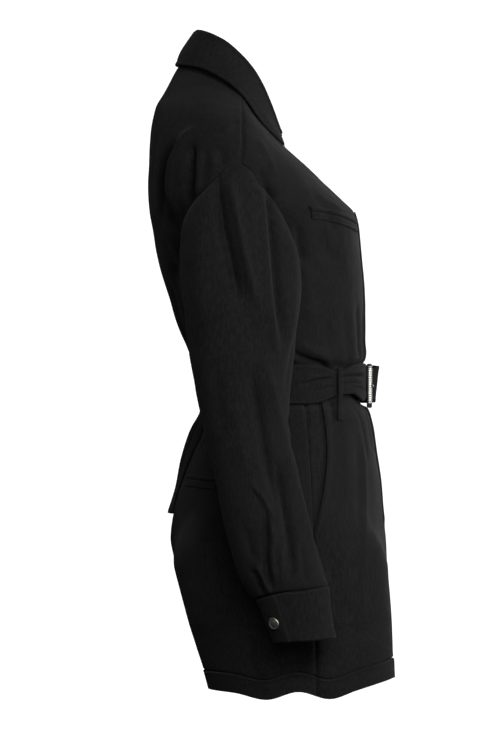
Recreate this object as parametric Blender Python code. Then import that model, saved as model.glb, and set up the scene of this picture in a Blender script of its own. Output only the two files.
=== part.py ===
"""A belted romper, worn shape: collared bodice, dropped sleeves with snapped cuffs, and shorts.

Metres in Blender, millimetres in every table and constant here. +Z is up, the front faces -Y, and the
wearer's right is -X. The origin is where the wearer's shoulders hold it, on the middle line.
"""

import math
from collections import namedtuple

import bmesh
import bpy
import numpy as np
from mathutils import Vector

# ---------------------------------------------------------------- driving sizes
MM = 0.001
CLOTH = 1.6  # wall of a single cloth, with its seam allowance
DOUBLE = 2.4  # wall of a belt or cuff, two cloths with interfacing
GAP = 0.3  # between two pieces at a seam
LIFT = 0.5  # between a panel and what is sewn on top of it
WELT_LIFT = 1.6  # the same under a pocket's welts, whose line crosses the panel's facets

WAIST = -357.0  # height of the waist seam, under the belt
NECK = 12.0  # height of the neck seam at the shoulder ridge
V_BOTTOM = -138.0  # where the two fronts meet
NECK_HALF = 75.0  # from the middle to the side of the neck
PLACKET_HALF = 19.0
HEM = -735.0
CROTCH = -655.0
FORK = -585.0  # where the crotch seam starts to curve under
THIGH = -480.0  # where the thighs start to round into two legs
LEG_APART = 11.0  # from the middle to an inner leg, at the hem

BELT_TOP, BELT_BOTTOM = -331.0, -380.0
BUCKLE_WIDE, BUCKLE_TALL = 44.0, 56.0
BUCKLE_BAR, BUCKLE_THICK, BUCKLE_STAND, BUCKLE_DROP = 5.0, 3.4, 2.0, 2.0
SNAP_RADIUS, SNAP_THICK = 7.5, 2.6
FLY_END = -537.0
# Places on the cuff and the sleeve, as fractions of their rows and of the columns round them.
SNAP_PLACE = (1.14, 15.6)
VENT_ROWS, VENT_COLUMNS = (11.75, 12, 12.5, 12.95), (16, 16.4, 16.8)

# Rows and columns of the panels. Neighbours share the points of their seam.
FRONT_HEIGHTS = [WAIST, -334, -322, -290, -240, -190, V_BOTTOM]
SIDE_HEIGHTS = [WAIST, -334, -322, -293, -262, -232, -201]
SIDE_ROWS, ARMHOLE_ROWS, SHOULDER_ROWS = len(FRONT_HEIGHTS) - 1, 9, 7
BACK_COLUMNS = 12
BELT_COLUMNS = 36
SLEEVE_ROWS = 13
SHORTS_COLUMNS = 8

# ---------------------------------------------------------------- tables of sections
# A ring of the body: height at its sides, half width, front and back, where it is widest,
# how much it tips up towards the back, and how square it is (2 is an ellipse).
Ring = namedtuple("Ring", "height side front back middle tilt square")
BODICE = [
    Ring(-357, 128, -155, 36, -56, 0.00, 2.1),
    Ring(-334, 130, -156, 41, -52, 0.00, 2.1),
    Ring(-322, 139, -161, 52, -47, 0.00, 2.2),
    Ring(-290, 147, -163, 70, -36, 0.00, 2.3),
    Ring(-240, 156, -162, 86, -22, 0.00, 2.3),
    Ring(-200, 167, -159, 97, -12, 0.00, 2.3),
    Ring(-160, 190, -155, 104, -9, 0.00, 2.3),
    Ring(-138, 206, -149, 108, -9, 0.00, 2.3),
    Ring(-125, 214, -136, 109, -9, 0.00, 2.3),
    Ring(-100, 223, -112, 110, -9, 0.02, 2.2),
    Ring(-84, 222, -97, 109, -9, 0.04, 2.2),
    Ring(-70, 215, -84, 108, -9, 0.07, 2.2),
    Ring(-52, 200, -66, 106, -9, 0.12, 2.2),
    Ring(-31, 175, -45, 100, -9, 0.22, 2.2),
    Ring(-18, 150, -32, 90, -9, 0.29, 2.2),
    Ring(-8, 125, -24, 83, -9, 0.35, 2.2),
    Ring(2, 100, -17, 76, -9, 0.42, 2.1),
    Ring(12, 75, -13, 68, -9, 0.50, 2.0),
]
SHORTS = [
    Ring(-735, 192, -199, 33, -82, 0.0, 2.3),
    Ring(-706, 191, -198, 41, -78, 0.0, 2.3),
    Ring(-637, 190, -195, 63, -66, 0.0, 2.3),
    Ring(-577, 188, -191, 77, -58, 0.0, 2.3),
    Ring(-550, 186, -190, 81, -56, 0.0, 2.3),
    Ring(-507, 180, -186, 75, -56, 0.0, 2.3),
    Ring(-474, 173, -183, 65, -58, 0.0, 2.3),
    Ring(-440, 163, -178, 51, -62, 0.0, 2.2),
    Ring(-420, 156, -175, 41, -64, 0.0, 2.2),
    Ring(-400, 147, -171, 35, -64, 0.0, 2.2),
    Ring(-388, 138, -167, 34, -62, 0.0, 2.1),
    Ring(-379, 129, -158, 34, -58, 0.0, 2.1),
    Ring(-357, 127, -155, 36, -56, 0.0, 2.1),
]
BELT = [
    Ring(BELT_BOTTOM, 134, -166, 39, -56, 0.0, 2.1),
    Ring(BELT_TOP, 138, -166, 50, -56, 0.0, 2.1),
]

# The armhole seam, seen from the side: from the shoulder end forward, under the arm, and up the back.
SidePoint = namedtuple("SidePoint", "y z")
ARMHOLE_FRONT = [
    SidePoint(-9, -84),
    SidePoint(-20, -92),
    SidePoint(-31, -107),
    SidePoint(-42, -126),
    SidePoint(-50, -145),
    SidePoint(-52, -163),
    SidePoint(-44, -181),
    SidePoint(-24, -195),
    SidePoint(2, -201),
]
ARMHOLE_BACK = [
    SidePoint(2, -201),
    SidePoint(34, -198),
    SidePoint(58, -186),
    SidePoint(66, -168),
    SidePoint(60, -147),
    SidePoint(44, -128),
    SidePoint(31, -112),
    SidePoint(20, -98),
    SidePoint(6, -87),
    SidePoint(-9, -84),
]

# Side seams and the slash pocket's edge, seen from the side.
SIDE_SEAM_TOP = [SidePoint(-84, -357), SidePoint(-70, -320), SidePoint(-40, -270), SidePoint(2, -201)]
SIDE_SEAM_SHORTS = [
    SidePoint(-101, -735),
    SidePoint(-99, -640),
    SidePoint(-97, -537),
    SidePoint(-91, -420),
    SidePoint(-84, -357),
]
POCKET_EDGE = [
    SidePoint(-99, -537),
    SidePoint(-111, -475),
    SidePoint(-114, -440),
    SidePoint(-112, -410),
    SidePoint(-104, -357),
]

# The hem seen from the side: it rises to the front and waves a little over the leg's flare.
HEM_LINE = [
    SidePoint(-197, -721),
    SidePoint(-150, -735),
    SidePoint(-117, -745),
    SidePoint(-79, -736),
    SidePoint(-39, -746),
    SidePoint(0, -738),
    SidePoint(33, -735),
]

# A ring of the sleeve: its outer and inner points seen from the front, and its front and back.
Cut = namedtuple("Cut", "outer_x outer_z inner_x inner_z front_y back_y front_z back_z")
SLEEVE = [
    Cut(-241, -116, -170, -213, -62, 66, -164, -168),
    Cut(-254, -165, -166, -228, -78, 68, -198, -200),
    Cut(-264, -240, -164, -252, -82, 66, -246, -246),
    Cut(-265, -320, -169, -322, -73, 56, -320, -320),
    Cut(-262, -400, -176, -400, -67, 41, -400, -400),
    Cut(-263, -470, -185, -470, -79, 26, -470, -470),
    Cut(-267, -530, -193, -532, -92, 12, -528, -534),
    Cut(-268, -580, -197, -584, -107, -5, -576, -592),
    Cut(-264, -609, -199, -613, -115, -22, -603, -620),
]
CUFF_TOP = Cut(-263, -609.5, -200, -613.5, -116, -26, -603.5, -621)
CUFF_END = Cut(-260, -671, -201, -673, -125, -48, -667, -675)

# Stations of the collar from its middle back to its end: the roll line, and the leaf's free edge.
Station = namedtuple("Station", "roll_x roll_y roll_z edge_x edge_y edge_z")
COLLAR = [
    Station(0, 51, 91, 0, 76, 47),
    Station(-36, 45, 91, -46, 70, 46),
    Station(-60, 26, 83, -74, 42, 41),
    Station(-69, 5, 69, -91, 12, 25),
    Station(-67, -22, 42, -102, -12, 4),
    Station(-61, -42, 7, -102, -36, -30),
    Station(-56, -60, -40, -96, -62, -55),
]

COLLAR_LIFT = 2.7  # of the stand's foot above the neck edge
ROLL_RADIUS = 3.0
LEAF_CROWN = 3.0

# Welts of the pockets: the middle of the opening from one end to the other, seen from the side.
Welt = namedtuple("Welt", "start end height")
BREAST_WELT = Welt(SidePoint(-94, -141), SidePoint(-152, -157), 16)
BACK_WELT = Welt(SidePoint(22, -479), SidePoint(60, -475), 15)

# The loose end of the belt, hanging behind: how far back its outer edge hangs at each height. Its other
# edge leans on the seat.
TAIL = [
    SidePoint(44, -383),
    SidePoint(46, -394),
    SidePoint(58, -416),
    SidePoint(69, -451),
    SidePoint(76, -487),
    SidePoint(86, -519),
]
TAIL_LEFT, TAIL_RIGHT = 54.0, 10.0  # its edges, from the middle towards the wearer's left
TAIL_LEAN = 2.4  # between its inner edge and the seat

# The belt's end past the buckle: how far its two edges stand out, by distance from the middle along the
# front, and how much narrower it is at each edge where it passes through the buckle.
Rise = namedtuple("Rise", "x top bottom narrow")
BELT_END = [
    Rise(4, 6.5, 6.5, 6),
    Rise(12, 8.5, 8, 5),
    Rise(21, 17.5, 12.5, 1),
    Rise(44, 14, 8.5, 0),
    Rise(75, 3.6, 3.6, 0),
]

# Belt loops: where each sits, seen from the side, and how wide it is.
LOOP_FRONT_Y, LOOP_BACK_X = -130.0, -84.0
LOOP_WIDTH = 8.0
LOOP_HEIGHTS = [-334.5, -346, -358, -370, -379.5, -389, -401]


# ---------------------------------------------------------------- curves
def gentle_slopes(xs, ys):
    steps = np.diff(ys) / np.diff(xs)
    inner = [0.0 if a * b <= 0 else 2 * a * b / (a + b) for a, b in zip(steps, steps[1:])]
    return [steps[0], *inner, steps[-1]]


def smooth_value(xs, ys, at):
    """The value at a place between the given ones, on a curve that never overshoots them."""
    order = np.argsort(xs)
    xs, ys = np.array(xs, float)[order], np.array(ys, float)[order]
    slopes = gentle_slopes(xs, ys)
    at = min(max(at, xs[0]), xs[-1])
    i = min(int(np.searchsorted(xs, at, side="right")) - 1, len(xs) - 2)
    width = xs[i + 1] - xs[i]
    u = (at - xs[i]) / width
    rise = (3 - 2 * u) * u * u
    bend = width * u * (1 - u) * ((1 - u) * slopes[i] - u * slopes[i + 1])
    return ys[i] + (ys[i + 1] - ys[i]) * rise + bend


def ring_at(table, height):
    heights = [ring.height for ring in table]
    values = [smooth_value(heights, [ring[k] for ring in table], height) for k in range(1, len(Ring._fields))]
    return Ring(height, *values)


def side_y(line, height):
    return smooth_value([point.z for point in line], [point.y for point in line], height)


def catmull(points, per_span=12):
    """A dense smooth path through the points."""
    points = np.array(points, float)
    ends = np.vstack([2 * points[0] - points[1], points, 2 * points[-1] - points[-2]])
    path = []
    for a, b, c, d in zip(ends, ends[1:], ends[2:], ends[3:]):
        for u in np.arange(per_span) / per_span:
            curve = 2 * b + (c - a) * u + (2 * a - 5 * b + 4 * c - d) * u * u
            path.append(0.5 * (curve + (3 * b - a - 3 * c + d) * u**3))
    path.append(points[-1])
    return np.array(path)


def spaced(path, count):
    """The path again as count equal steps."""
    along = np.concatenate([[0], np.cumsum(np.linalg.norm(np.diff(path, axis=0), axis=1))])
    at = np.linspace(0, along[-1], count + 1)
    return np.stack([np.interp(at, along, path[:, k]) for k in range(path.shape[1])], axis=1)


def unit(vector):
    vector = np.asarray(vector, float)
    return vector / np.maximum(np.linalg.norm(vector, axis=-1, keepdims=True), 1e-12)


def ease(value):
    value = min(max(value, 0.0), 1.0)
    return value * value * (3 - 2 * value)


# ---------------------------------------------------------------- the form of the bodice
def bodice_point(angle, height):
    """A point of the bodice's outer face. The angle runs from the middle front by the wearer's right."""
    ring = ring_at(BODICE, height)
    sine, cosine = math.sin(angle), math.cos(angle)
    power = 2 / ring.square
    x = -ring.side * math.copysign(abs(sine) ** power, sine)
    reach = ring.middle - ring.front if cosine > 0 else ring.back - ring.middle
    y = ring.middle - reach * math.copysign(abs(cosine) ** power, cosine)
    return np.array([x, y, height + ring.tilt * (y - ring.middle)])


def form_normal(form, angle, height):
    """The outward direction of a form that is given by an angle and a height."""
    turn, rise = 1e-3, 0.2
    across = form(angle + turn, height) - form(angle - turn, height)
    up = form(angle, height + rise) - form(angle, height - rise)
    return unit(np.cross(up, across))


def bodice_angle(y, z):
    """The angle and height of the bodice's point that shows at (y, z) from the wearer's right."""
    height = z
    for _ in range(20):
        ring = ring_at(BODICE, height)
        height = z - ring.tilt * (y - ring.middle)
    ring = ring_at(BODICE, height)
    reach = ring.middle - ring.front if y < ring.middle else ring.back - ring.middle
    share = min(abs(y - ring.middle) / reach, 1.0)
    lean = math.acos(share ** (ring.square / 2))
    return (lean if y < ring.middle else math.pi - lean), height


def neckline_angle(height):
    """The front neck edge runs nearly straight from the side of the neck down to the middle front."""
    ring = ring_at(BODICE, height)
    share = (height - V_BOTTOM) / (NECK - V_BOTTOM)
    return math.asin(min(NECK_HALF * share / ring.side, 1.0) ** (ring.square / 2))


def shoulder_heights():
    """Heights along the shoulder ridge from its end to the neck, equally far apart on the cloth."""
    ridge = [[h, *bodice_point(math.pi / 2, h)] for h in np.linspace(-84, NECK, 60)]
    ridge = np.array(ridge)
    along = np.concatenate([[0], np.cumsum(np.linalg.norm(np.diff(ridge[:, 1:], axis=0), axis=1))])
    return np.interp(np.linspace(0, along[-1], SHOULDER_ROWS + 1), along, ridge[:, 0])


def armhole(half):
    """The seam's places on the bodice, as (angle, height)."""
    path = spaced(catmull([(p.y, p.z) for p in half]), ARMHOLE_ROWS)
    places = [bodice_angle(y, z) for y, z in path]
    return places


def side_seam():
    return [bodice_angle(side_y(SIDE_SEAM_TOP, h), h) for h in SIDE_HEIGHTS]


def front_edge():
    """The front panel's inner edge: up the middle, then along the neckline to the side of the neck."""
    straight = [(0.0, h) for h in FRONT_HEIGHTS]
    dense = [(neckline_angle(h), h) for h in NECK - (NECK - V_BOTTOM) * (1 - np.linspace(0, 1, 200)) ** 1.5]
    path = np.array([[a, h, *bodice_point(a, h)] for a, h in dense])
    along = np.concatenate([[0], np.cumsum(np.linalg.norm(np.diff(path[:, 2:], axis=0), axis=1))])
    at = np.linspace(0, along[-1], ARMHOLE_ROWS + 1)[1:]
    return straight + [(np.interp(s, along, path[:, 0]), np.interp(s, along, path[:, 1])) for s in at]


# ---------------------------------------------------------------- the form of the shorts
def shorts_point(angle, height):
    """A point of the shorts' outer face on the wearer's right, from the front seam to the back seam. The
    hips are one ring. Over the thighs it turns into a ring for each leg, whose inner half starts flat and
    rounds under as the crotch seam does."""
    ring = ring_at(SHORTS, height)
    depth = min(max((FORK - height) / (FORK - CROTCH), 0.0), 1.0)
    seam = math.sqrt(1 - depth * depth)
    legs = ease((THIGH - height) / (THIGH - FORK))
    inner = LEG_APART * ease((CROTCH - height) / 45)
    power = 2 / ring.square
    sine, cosine = abs(math.sin(angle)) ** power, abs(math.cos(angle)) ** power
    turn = 2 * angle - math.pi / 2
    leg_sine, leg_cosine = abs(math.sin(turn)) ** power, abs(math.cos(turn)) ** power
    if abs(angle - math.pi / 2) > math.pi / 4:
        leg_sine = -leg_sine
        leg_cosine = math.hypot(seam, leg_cosine * depth)
    centre, half = (ring.side + inner) / 2, (ring.side - inner) / 2
    x = (1 - legs) * ring.side * sine + legs * (centre + half * leg_sine)
    level = (1 - legs) * cosine + legs * leg_cosine
    if angle < math.pi / 2:
        y = ring.middle - level * (ring.middle - ring.front)
    else:
        y = ring.middle + level * (ring.back - ring.middle)
    hem = smooth_value([p.y for p in HEM_LINE], [p.z for p in HEM_LINE], y) - HEM
    z = height + hem * ease((-590 - height) / 145)
    return np.array([-x, y, z])


def shorts_normal(angle, height):
    angle = min(max(angle, 2e-3), math.pi - 2e-3)
    return form_normal(shorts_point, angle, height)


def shorts_angle(y, height):
    low, high = math.radians(40), math.radians(172)
    for _ in range(40):
        middle = (low + high) / 2
        low, high = (middle, high) if shorts_point(middle, height)[1] < y else (low, middle)
    return low


def shorts_heights():
    top = [WAIST, BELT_BOTTOM + 1, -388, -403, -425, -460, -500, -537]
    fork = [FORK + (CROTCH - FORK) * math.sin(math.radians(turn)) for turn in (0, 30, 52, 72, 90)]
    legs = [-684, HEM]
    return top + fork + legs


# ---------------------------------------------------------------- walls and materials
def material(name, colour, roughness, metallic=0.0):
    made = bpy.data.materials.get(name)
    if made is None:
        made = bpy.data.materials.new(name)
        made.use_nodes = True
        surface = made.node_tree.nodes["Principled BSDF"]
        surface.inputs["Base Color"].default_value = (*colour, 1)
        surface.inputs["Roughness"].default_value = roughness
        surface.inputs["Metallic"].default_value = metallic
    return made


def cloth(name):
    return material(name + "_cloth", (0.012, 0.012, 0.014), 0.85)


def add_object(name, points, faces, surface):
    mesh = bpy.data.meshes.new(name)
    mesh.from_pydata([tuple(p * MM) for p in points], [], faces)
    build = bmesh.new()
    build.from_mesh(mesh)
    bmesh.ops.recalc_face_normals(build, faces=build.faces)
    build.to_mesh(mesh)
    build.free()
    mesh.materials.append(surface)
    mesh.shade_smooth()
    made = bpy.data.objects.new(name, mesh)
    bpy.context.scene.collection.objects.link(made)
    return made


def pulled_back(layer, wrap, one_side=False):
    """The layer with its open edges drawn in by half a seam gap, square to each edge. One_side keeps it
    on its own side of the garment's middle."""
    layer = layer.copy()

    def draw_in(edge, inside):
        tangent = unit(np.gradient(edge, axis=0))
        inward = inside - edge
        inward -= (inward * tangent).sum(-1, keepdims=True) * tangent
        return edge + unit(inward) * GAP / 2

    layer[0], layer[-1] = draw_in(layer[0], layer[1]), draw_in(layer[-1], layer[-2])
    if not wrap:
        first, last = draw_in(layer[:, 0], layer[:, 1]), draw_in(layer[:, -1], layer[:, -2])
        layer[:, 0], layer[:, -1] = first, last
    if one_side:
        hand = np.sign(layer[..., 0].mean())
        layer[..., 0] = hand * np.maximum(hand * layer[..., 0], GAP / 2)
    return layer


def wall(name, outer, normals, thickness, surface, wrap=False, reach=None, one_side=False):
    """A cloth wall from a grid of outer points. The inner layer lies thickness behind them."""
    inner = outer - normals * (thickness if reach is None else reach[..., None])
    layers = [pulled_back(outer, wrap, one_side), pulled_back(inner, wrap, one_side)]
    rows, columns = outer.shape[:2]
    points = np.concatenate([layer.reshape(-1, 3) for layer in layers])
    below = rows * columns

    def at(row, column):
        return row * columns + column % columns

    faces = []
    last = columns if wrap else columns - 1
    for row in range(rows - 1):
        for column in range(last):
            a, b = at(row, column), at(row, column + 1)
            c, d = at(row + 1, column + 1), at(row + 1, column)
            shorter = np.linalg.norm(points[a] - points[c]) < np.linalg.norm(points[b] - points[d]) - 1e-3
            for face in ((a, b, c), (a, c, d)) if shorter else ((a, b, d), (b, c, d)):
                faces.append(face)
                faces.append([corner + below for corner in reversed(face)])
    for column in range(last):
        for row, flip in ((0, False), (rows - 1, True)):
            a, b = at(row, column), at(row, column + 1)
            rim = [a, a + below, b + below, b]
            faces.append(rim[::-1] if flip else rim)
    if not wrap:
        for row in range(rows - 1):
            for column, flip in ((0, True), (columns - 1, False)):
                a, b = at(row, column), at(row + 1, column)
                rim = [a, a + below, b + below, b]
                faces.append(rim[::-1] if flip else rim)
    return add_object(name, points, faces, surface)


def mirrored(grid):
    return grid * np.array([-1.0, 1.0, 1.0])


def both_sides(stem, outer, normals, thickness, surface, **how):
    wall(stem + "_right", outer, normals, thickness, surface, **how)
    wall(stem + "_left", mirrored(outer), mirrored(normals), thickness, surface, **how)


def grid_normals(points, wrap):
    """Directions square to a grid, towards the side that row x column steps turn to."""
    down = np.gradient(points, axis=0)
    if wrap:
        across = np.roll(points, -1, axis=1) - np.roll(points, 1, axis=1)
    else:
        across = np.gradient(points, axis=1)
    return unit(np.cross(down, across))


def form_grid(point_of, normal_of, places):
    outer = np.array([[point_of(a, h) for a, h in row] for row in places])
    normals = np.array([[normal_of(a, h) for a, h in row] for row in places])
    return outer, normals


def between(start, end, count):
    return [tuple(np.array(start) * (1 - s) + np.array(end) * s) for s in np.linspace(0, 1, count + 1)]


def bodice_normal(angle, height):
    return form_normal(bodice_point, angle, height)


# ---------------------------------------------------------------- sleeves
def cut_points(cut, count):
    """Points round one ring of the sleeve, from its outer point forward and round."""
    points = []
    for turn in np.arange(count) * 2 * math.pi / count:
        cosine, sine = math.cos(turn), math.sin(turn)
        power = 0.94
        c = math.copysign(abs(cosine) ** power, cosine)
        s = math.copysign(abs(sine) ** power, sine)
        x = (cut.outer_x + cut.inner_x) / 2 + c * (cut.outer_x - cut.inner_x) / 2
        y = (cut.front_y + cut.back_y) / 2 + s * (cut.front_y - cut.back_y) / 2
        plane = (cut.outer_z + cut.inner_z) / 2 + c * (cut.outer_z - cut.inner_z) / 2
        middle = (cut.outer_z + cut.inner_z) / 2
        ends = (cut.front_z if s > 0 else cut.back_z) - middle
        points.append([x, y, plane + ends * abs(s) ** 1.5])
    return np.array(points)


def sleeve_grid(loop):
    """Rings of the sleeve from the armhole seam to the cuff, on smooth lines down the cloth."""
    keys = np.array([loop] + [cut_points(cut, len(loop)) for cut in SLEEVE])
    lines = [spaced(catmull(keys[:, k]), SLEEVE_ROWS) for k in range(len(loop))]
    return np.stack(lines, axis=1)


def make_bodice_and_sleeves():
    front_hole, back_hole = armhole(ARMHOLE_FRONT), armhole(ARMHOLE_BACK)
    loop_places = front_hole + back_hole[1:-1]
    loop = np.array([bodice_point(a, h) for a, h in loop_places])
    sleeve = sleeve_grid(loop)
    sleeve[0] += unit(sleeve[1] - sleeve[0]) * GAP
    sleeve_out = grid_normals(sleeve, wrap=True)
    hole_out = np.array([bodice_normal(a, h) for a, h in loop_places])
    mitre = unit(hole_out + sleeve_out[0])
    sleeve_out[0] = mitre
    both_sides("sleeve", sleeve, sleeve_out, CLOTH, cloth("sleeve"), wrap=True)

    inner = front_edge()
    outer = side_seam() + front_hole[::-1][1:]
    places = [between(a, b, SHOULDER_ROWS) for a, b in zip(inner, outer)]
    places[-1] = [(math.pi / 2, h) for h in shoulder_heights()[::-1]]
    points, out = form_grid(bodice_point, bodice_normal, places)
    hole_rows = range(SIDE_ROWS, SIDE_ROWS + ARMHOLE_ROWS + 1)
    for row, k in zip(hole_rows, range(ARMHOLE_ROWS, -1, -1)):
        out[row, -1] = mitre[k]
    for row in range(SIDE_ROWS + 1):
        out[row, 0, 0] = 0
    both_sides("front", points, unit(out), CLOTH, cloth("front"))

    edge = side_seam() + back_hole[1:] + [(math.pi / 2, h) for h in shoulder_heights()[1:]]
    spine = SIDE_HEIGHTS[:5] + list(np.linspace(SIDE_HEIGHTS[5], NECK, len(edge) - 5))
    places = []
    for (angle, height), middle in zip(edge, spine):
        half = between((angle, height), (math.pi, middle), BACK_COLUMNS // 2)
        places.append(half + [(2 * math.pi - a, h) for a, h in half[-2::-1]])
    points, out = form_grid(bodice_point, bodice_normal, places)
    for k in range(ARMHOLE_ROWS + 1):
        normal = mitre[(ARMHOLE_ROWS + k) % len(mitre)]
        out[SIDE_ROWS + k, 0], out[SIDE_ROWS + k, -1] = normal, mirrored(normal)
    wall("back", points, out, CLOTH, cloth("back"))
    return sleeve


# ---------------------------------------------------------------- shorts
def make_shorts():
    heights = shorts_heights()
    pocket_rows = [h for h in heights if h >= POCKET_EDGE[0].z]
    seam = [shorts_angle(side_y(SIDE_SEAM_SHORTS, h), h) for h in heights]
    edge = [shorts_angle(side_y(POCKET_EDGE, h), h) for h in pocket_rows] + seam[len(pocket_rows) :]
    front = [between((0.0, h), (a, h), SHORTS_COLUMNS) for h, a in zip(heights, edge)]
    back = [between((a, h), (math.pi, h), SHORTS_COLUMNS + 1) for h, a in zip(heights, seam)]
    facing = [between((a, h), (b, h), 2) for h, a, b in zip(pocket_rows, edge, seam)]
    for stem, places in (("shorts_front", front), ("shorts_back", back), ("pocket_facing", facing)):
        points, out = form_grid(shorts_point, shorts_normal, places)
        for row, height in enumerate(heights[: len(places)]):
            for column in (0, -1):
                if height > CROTCH and stem != "pocket_facing" and abs(points[row, column, 0]) < 1e-6:
                    out[row, column, 0] = 0
        both_sides(stem, points[::-1], unit(out)[::-1], CLOTH, cloth(stem), one_side=True)


# ---------------------------------------------------------------- collar, placket and welts
def neck_seam(count):
    """Places along the neck seam from the middle back round to the collar's end."""
    back = [(math.pi - a, NECK) for a in np.linspace(0, math.pi / 2, 30)]
    front = [(neckline_angle(h), h) for h in NECK - 62 * np.linspace(0, 1, 40)[1:] ** 1.5]
    path = np.array([[a, h, *bodice_point(a, h)] for a, h in back + front])
    along = np.concatenate([[0], np.cumsum(np.linalg.norm(np.diff(path[:, 2:], axis=0), axis=1))])
    at = np.linspace(0, along[-1], count + 1)
    return [(np.interp(s, along, path[:, 0]), np.interp(s, along, path[:, 1])) for s in at]


def make_collar():
    steps = 10
    seam = neck_seam(steps)
    foot = np.array([bodice_point(a, h) + np.array([0, 0, COLLAR_LIFT]) for a, h in seam])
    foot[0, 0] = 0
    roll = spaced(catmull([row[:3] for row in COLLAR]), steps)
    edge = spaced(catmull([row[3:] for row in COLLAR]), steps)
    along = unit(np.gradient(roll, axis=0))
    along[0] = (-1, 0, 0)
    across = (edge - roll) * [1, 1, 0]
    across = unit(across - (across * along).sum(-1, keepdims=True) * along)
    drop = np.cross(along, across)
    drop *= np.sign((drop * (foot - roll)).sum(-1, keepdims=True))
    inner = roll + (drop - across) * ROLL_RADIUS
    outer = roll + (drop + across) * ROLL_RADIUS
    stand = np.array([foot, foot * 0.5 + inner * 0.5, inner, roll])
    leaf_mid = outer * 0.45 + edge * 0.55 + across * LEAF_CROWN
    leaf = np.array([roll, outer, leaf_mid, edge])

    def whole(half):
        return np.concatenate([mirrored(half[:, :0:-1]), half], axis=1)

    stand, leaf = whole(stand), whole(leaf)
    sheet = np.concatenate([stand, leaf[1:]])
    out = grid_normals(sheet, wrap=False)
    if out[3, steps, 2] < 0:
        out = -out
    under = np.array([bodice_normal(a, h) for a, h in seam])[None]
    under = whole(under)[0]
    out[0] = unit(out[0] - (out[0] * under).sum(-1, keepdims=True) * under)
    wall("collar_stand", stand, out[:4], CLOTH, cloth("collar_stand"))
    wall("collar_leaf", leaf, out[3:], CLOTH, cloth("collar_leaf"))


def placket_places():
    rows = []
    for height in [WAIST + 2, *FRONT_HEIGHTS[1:-1], -164, V_BOTTOM - 1]:
        ring = ring_at(BODICE, height)
        lean = math.asin((PLACKET_HALF / ring.side) ** (ring.square / 2))
        rows.append([(a, height) for a in np.array([-1, -0.5, 0, 0.5, 1]) * lean])
    return rows


def make_placket():
    base, out = form_grid(bodice_point, bodice_normal, placket_places())
    wall("placket", base + out * (LIFT + CLOTH), out, CLOTH, cloth("placket"))


def welt_places(welt, locate, columns=6):
    """Rows of a welt from its upper to its lower edge, along the line of its opening."""
    rows = []
    for offset in np.array([0.5, 0.27, 0.0, -0.27, -0.5]) * welt.height:
        row = []
        for share in np.linspace(0, 1, columns + 1):
            y = welt.start.y * (1 - share) + welt.end.y * share
            z = welt.start.z * (1 - share) + welt.end.z * share
            angle, height = locate(y, z)
            row.append((angle, height + offset))
        rows.append(row)
    return rows


def make_welts():
    profile = [1.4, 2.0, 1.0, 2.0, 1.4]
    kinds = (
        ("breast_welt", BREAST_WELT, (bodice_point, bodice_normal), bodice_angle),
        ("back_welt", BACK_WELT, (shorts_point, shorts_normal), lambda y, z: (shorts_angle(y, z), z)),
    )
    for stem, welt, form, locate in kinds:
        places = welt_places(welt, locate)
        base, out = form_grid(*form, places)
        rise = np.array(profile)[:, None]
        outer = base + out * (WELT_LIFT + rise)[..., None]
        reach = np.broadcast_to(rise, outer.shape[:2])
        both_sides(stem, outer, out, None, cloth(stem), reach=reach)


# ---------------------------------------------------------------- cuffs, snaps and sleeve plackets
def on_grid(grid, row, column):
    """A place on a wrapped grid's facets, at fractions of a row and a column."""
    i, j = min(int(row), len(grid) - 2), int(column)
    u, v = row - i, column - j
    after = (j + 1) % grid.shape[1]
    j %= grid.shape[1]
    upper = grid[i, j] * (1 - v) + grid[i, after] * v
    lower = grid[i + 1, j] * (1 - v) + grid[i + 1, after] * v
    return upper * (1 - u) + lower * u


def make_cuffs(sleeve):
    columns = sleeve.shape[1]
    top, end = cut_points(CUFF_TOP, columns), cut_points(CUFF_END, columns)
    cuff = np.array([top * (1 - s) + end * s for s in (0, 0.5, 1)])
    out = grid_normals(cuff, wrap=True)
    both_sides("cuff", cuff, out, DOUBLE, cloth("cuff"), wrap=True)

    place, facing = on_grid(cuff, *SNAP_PLACE), unit(on_grid(out, *SNAP_PLACE))
    for side, hand in (("right", 1.0), ("left", -1.0)):
        build = bmesh.new()
        bmesh.ops.create_cone(
            build,
            cap_ends=True,
            segments=20,
            radius1=SNAP_RADIUS * MM,
            radius2=SNAP_RADIUS * 0.72 * MM,
            depth=SNAP_THICK * MM,
        )
        mesh = bpy.data.meshes.new("snap_" + side)
        build.to_mesh(mesh)
        build.free()
        mesh.materials.append(material("snap_nickel", (0.75, 0.74, 0.72), 0.25, 1.0))
        snap = bpy.data.objects.new("snap_" + side, mesh)
        towards = Vector(facing * [hand, 1, 1])
        snap.rotation_euler = towards.to_track_quat("Z", "Y").to_euler()
        snap.location = Vector((place + facing * (LIFT + SNAP_THICK / 2)) * [hand, 1, 1] * MM)
        bpy.context.scene.collection.objects.link(snap)

    sleeve_out = grid_normals(sleeve, wrap=True)
    base = np.array([[on_grid(sleeve, r, c) for c in VENT_COLUMNS] for r in VENT_ROWS])
    out = unit(np.array([[on_grid(sleeve_out, r, c) for c in VENT_COLUMNS] for r in VENT_ROWS]))
    both_sides("sleeve_placket", base + out * (LIFT + CLOTH), out, CLOTH, cloth("sleeve_placket"))


# ---------------------------------------------------------------- belt, loops and buckle
def ellipse_point(table, angle, height):
    ring = ring_at(table, height)
    sine, cosine = math.sin(angle), math.cos(angle)
    power = 2 / ring.square
    x = -ring.side * math.copysign(abs(sine) ** power, sine)
    reach = ring.middle - ring.front if cosine > 0 else ring.back - ring.middle
    return np.array([x, ring.middle - reach * math.copysign(abs(cosine) ** power, cosine), height])


def belt_point(angle, height):
    return ellipse_point(BELT, angle, height)


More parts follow.
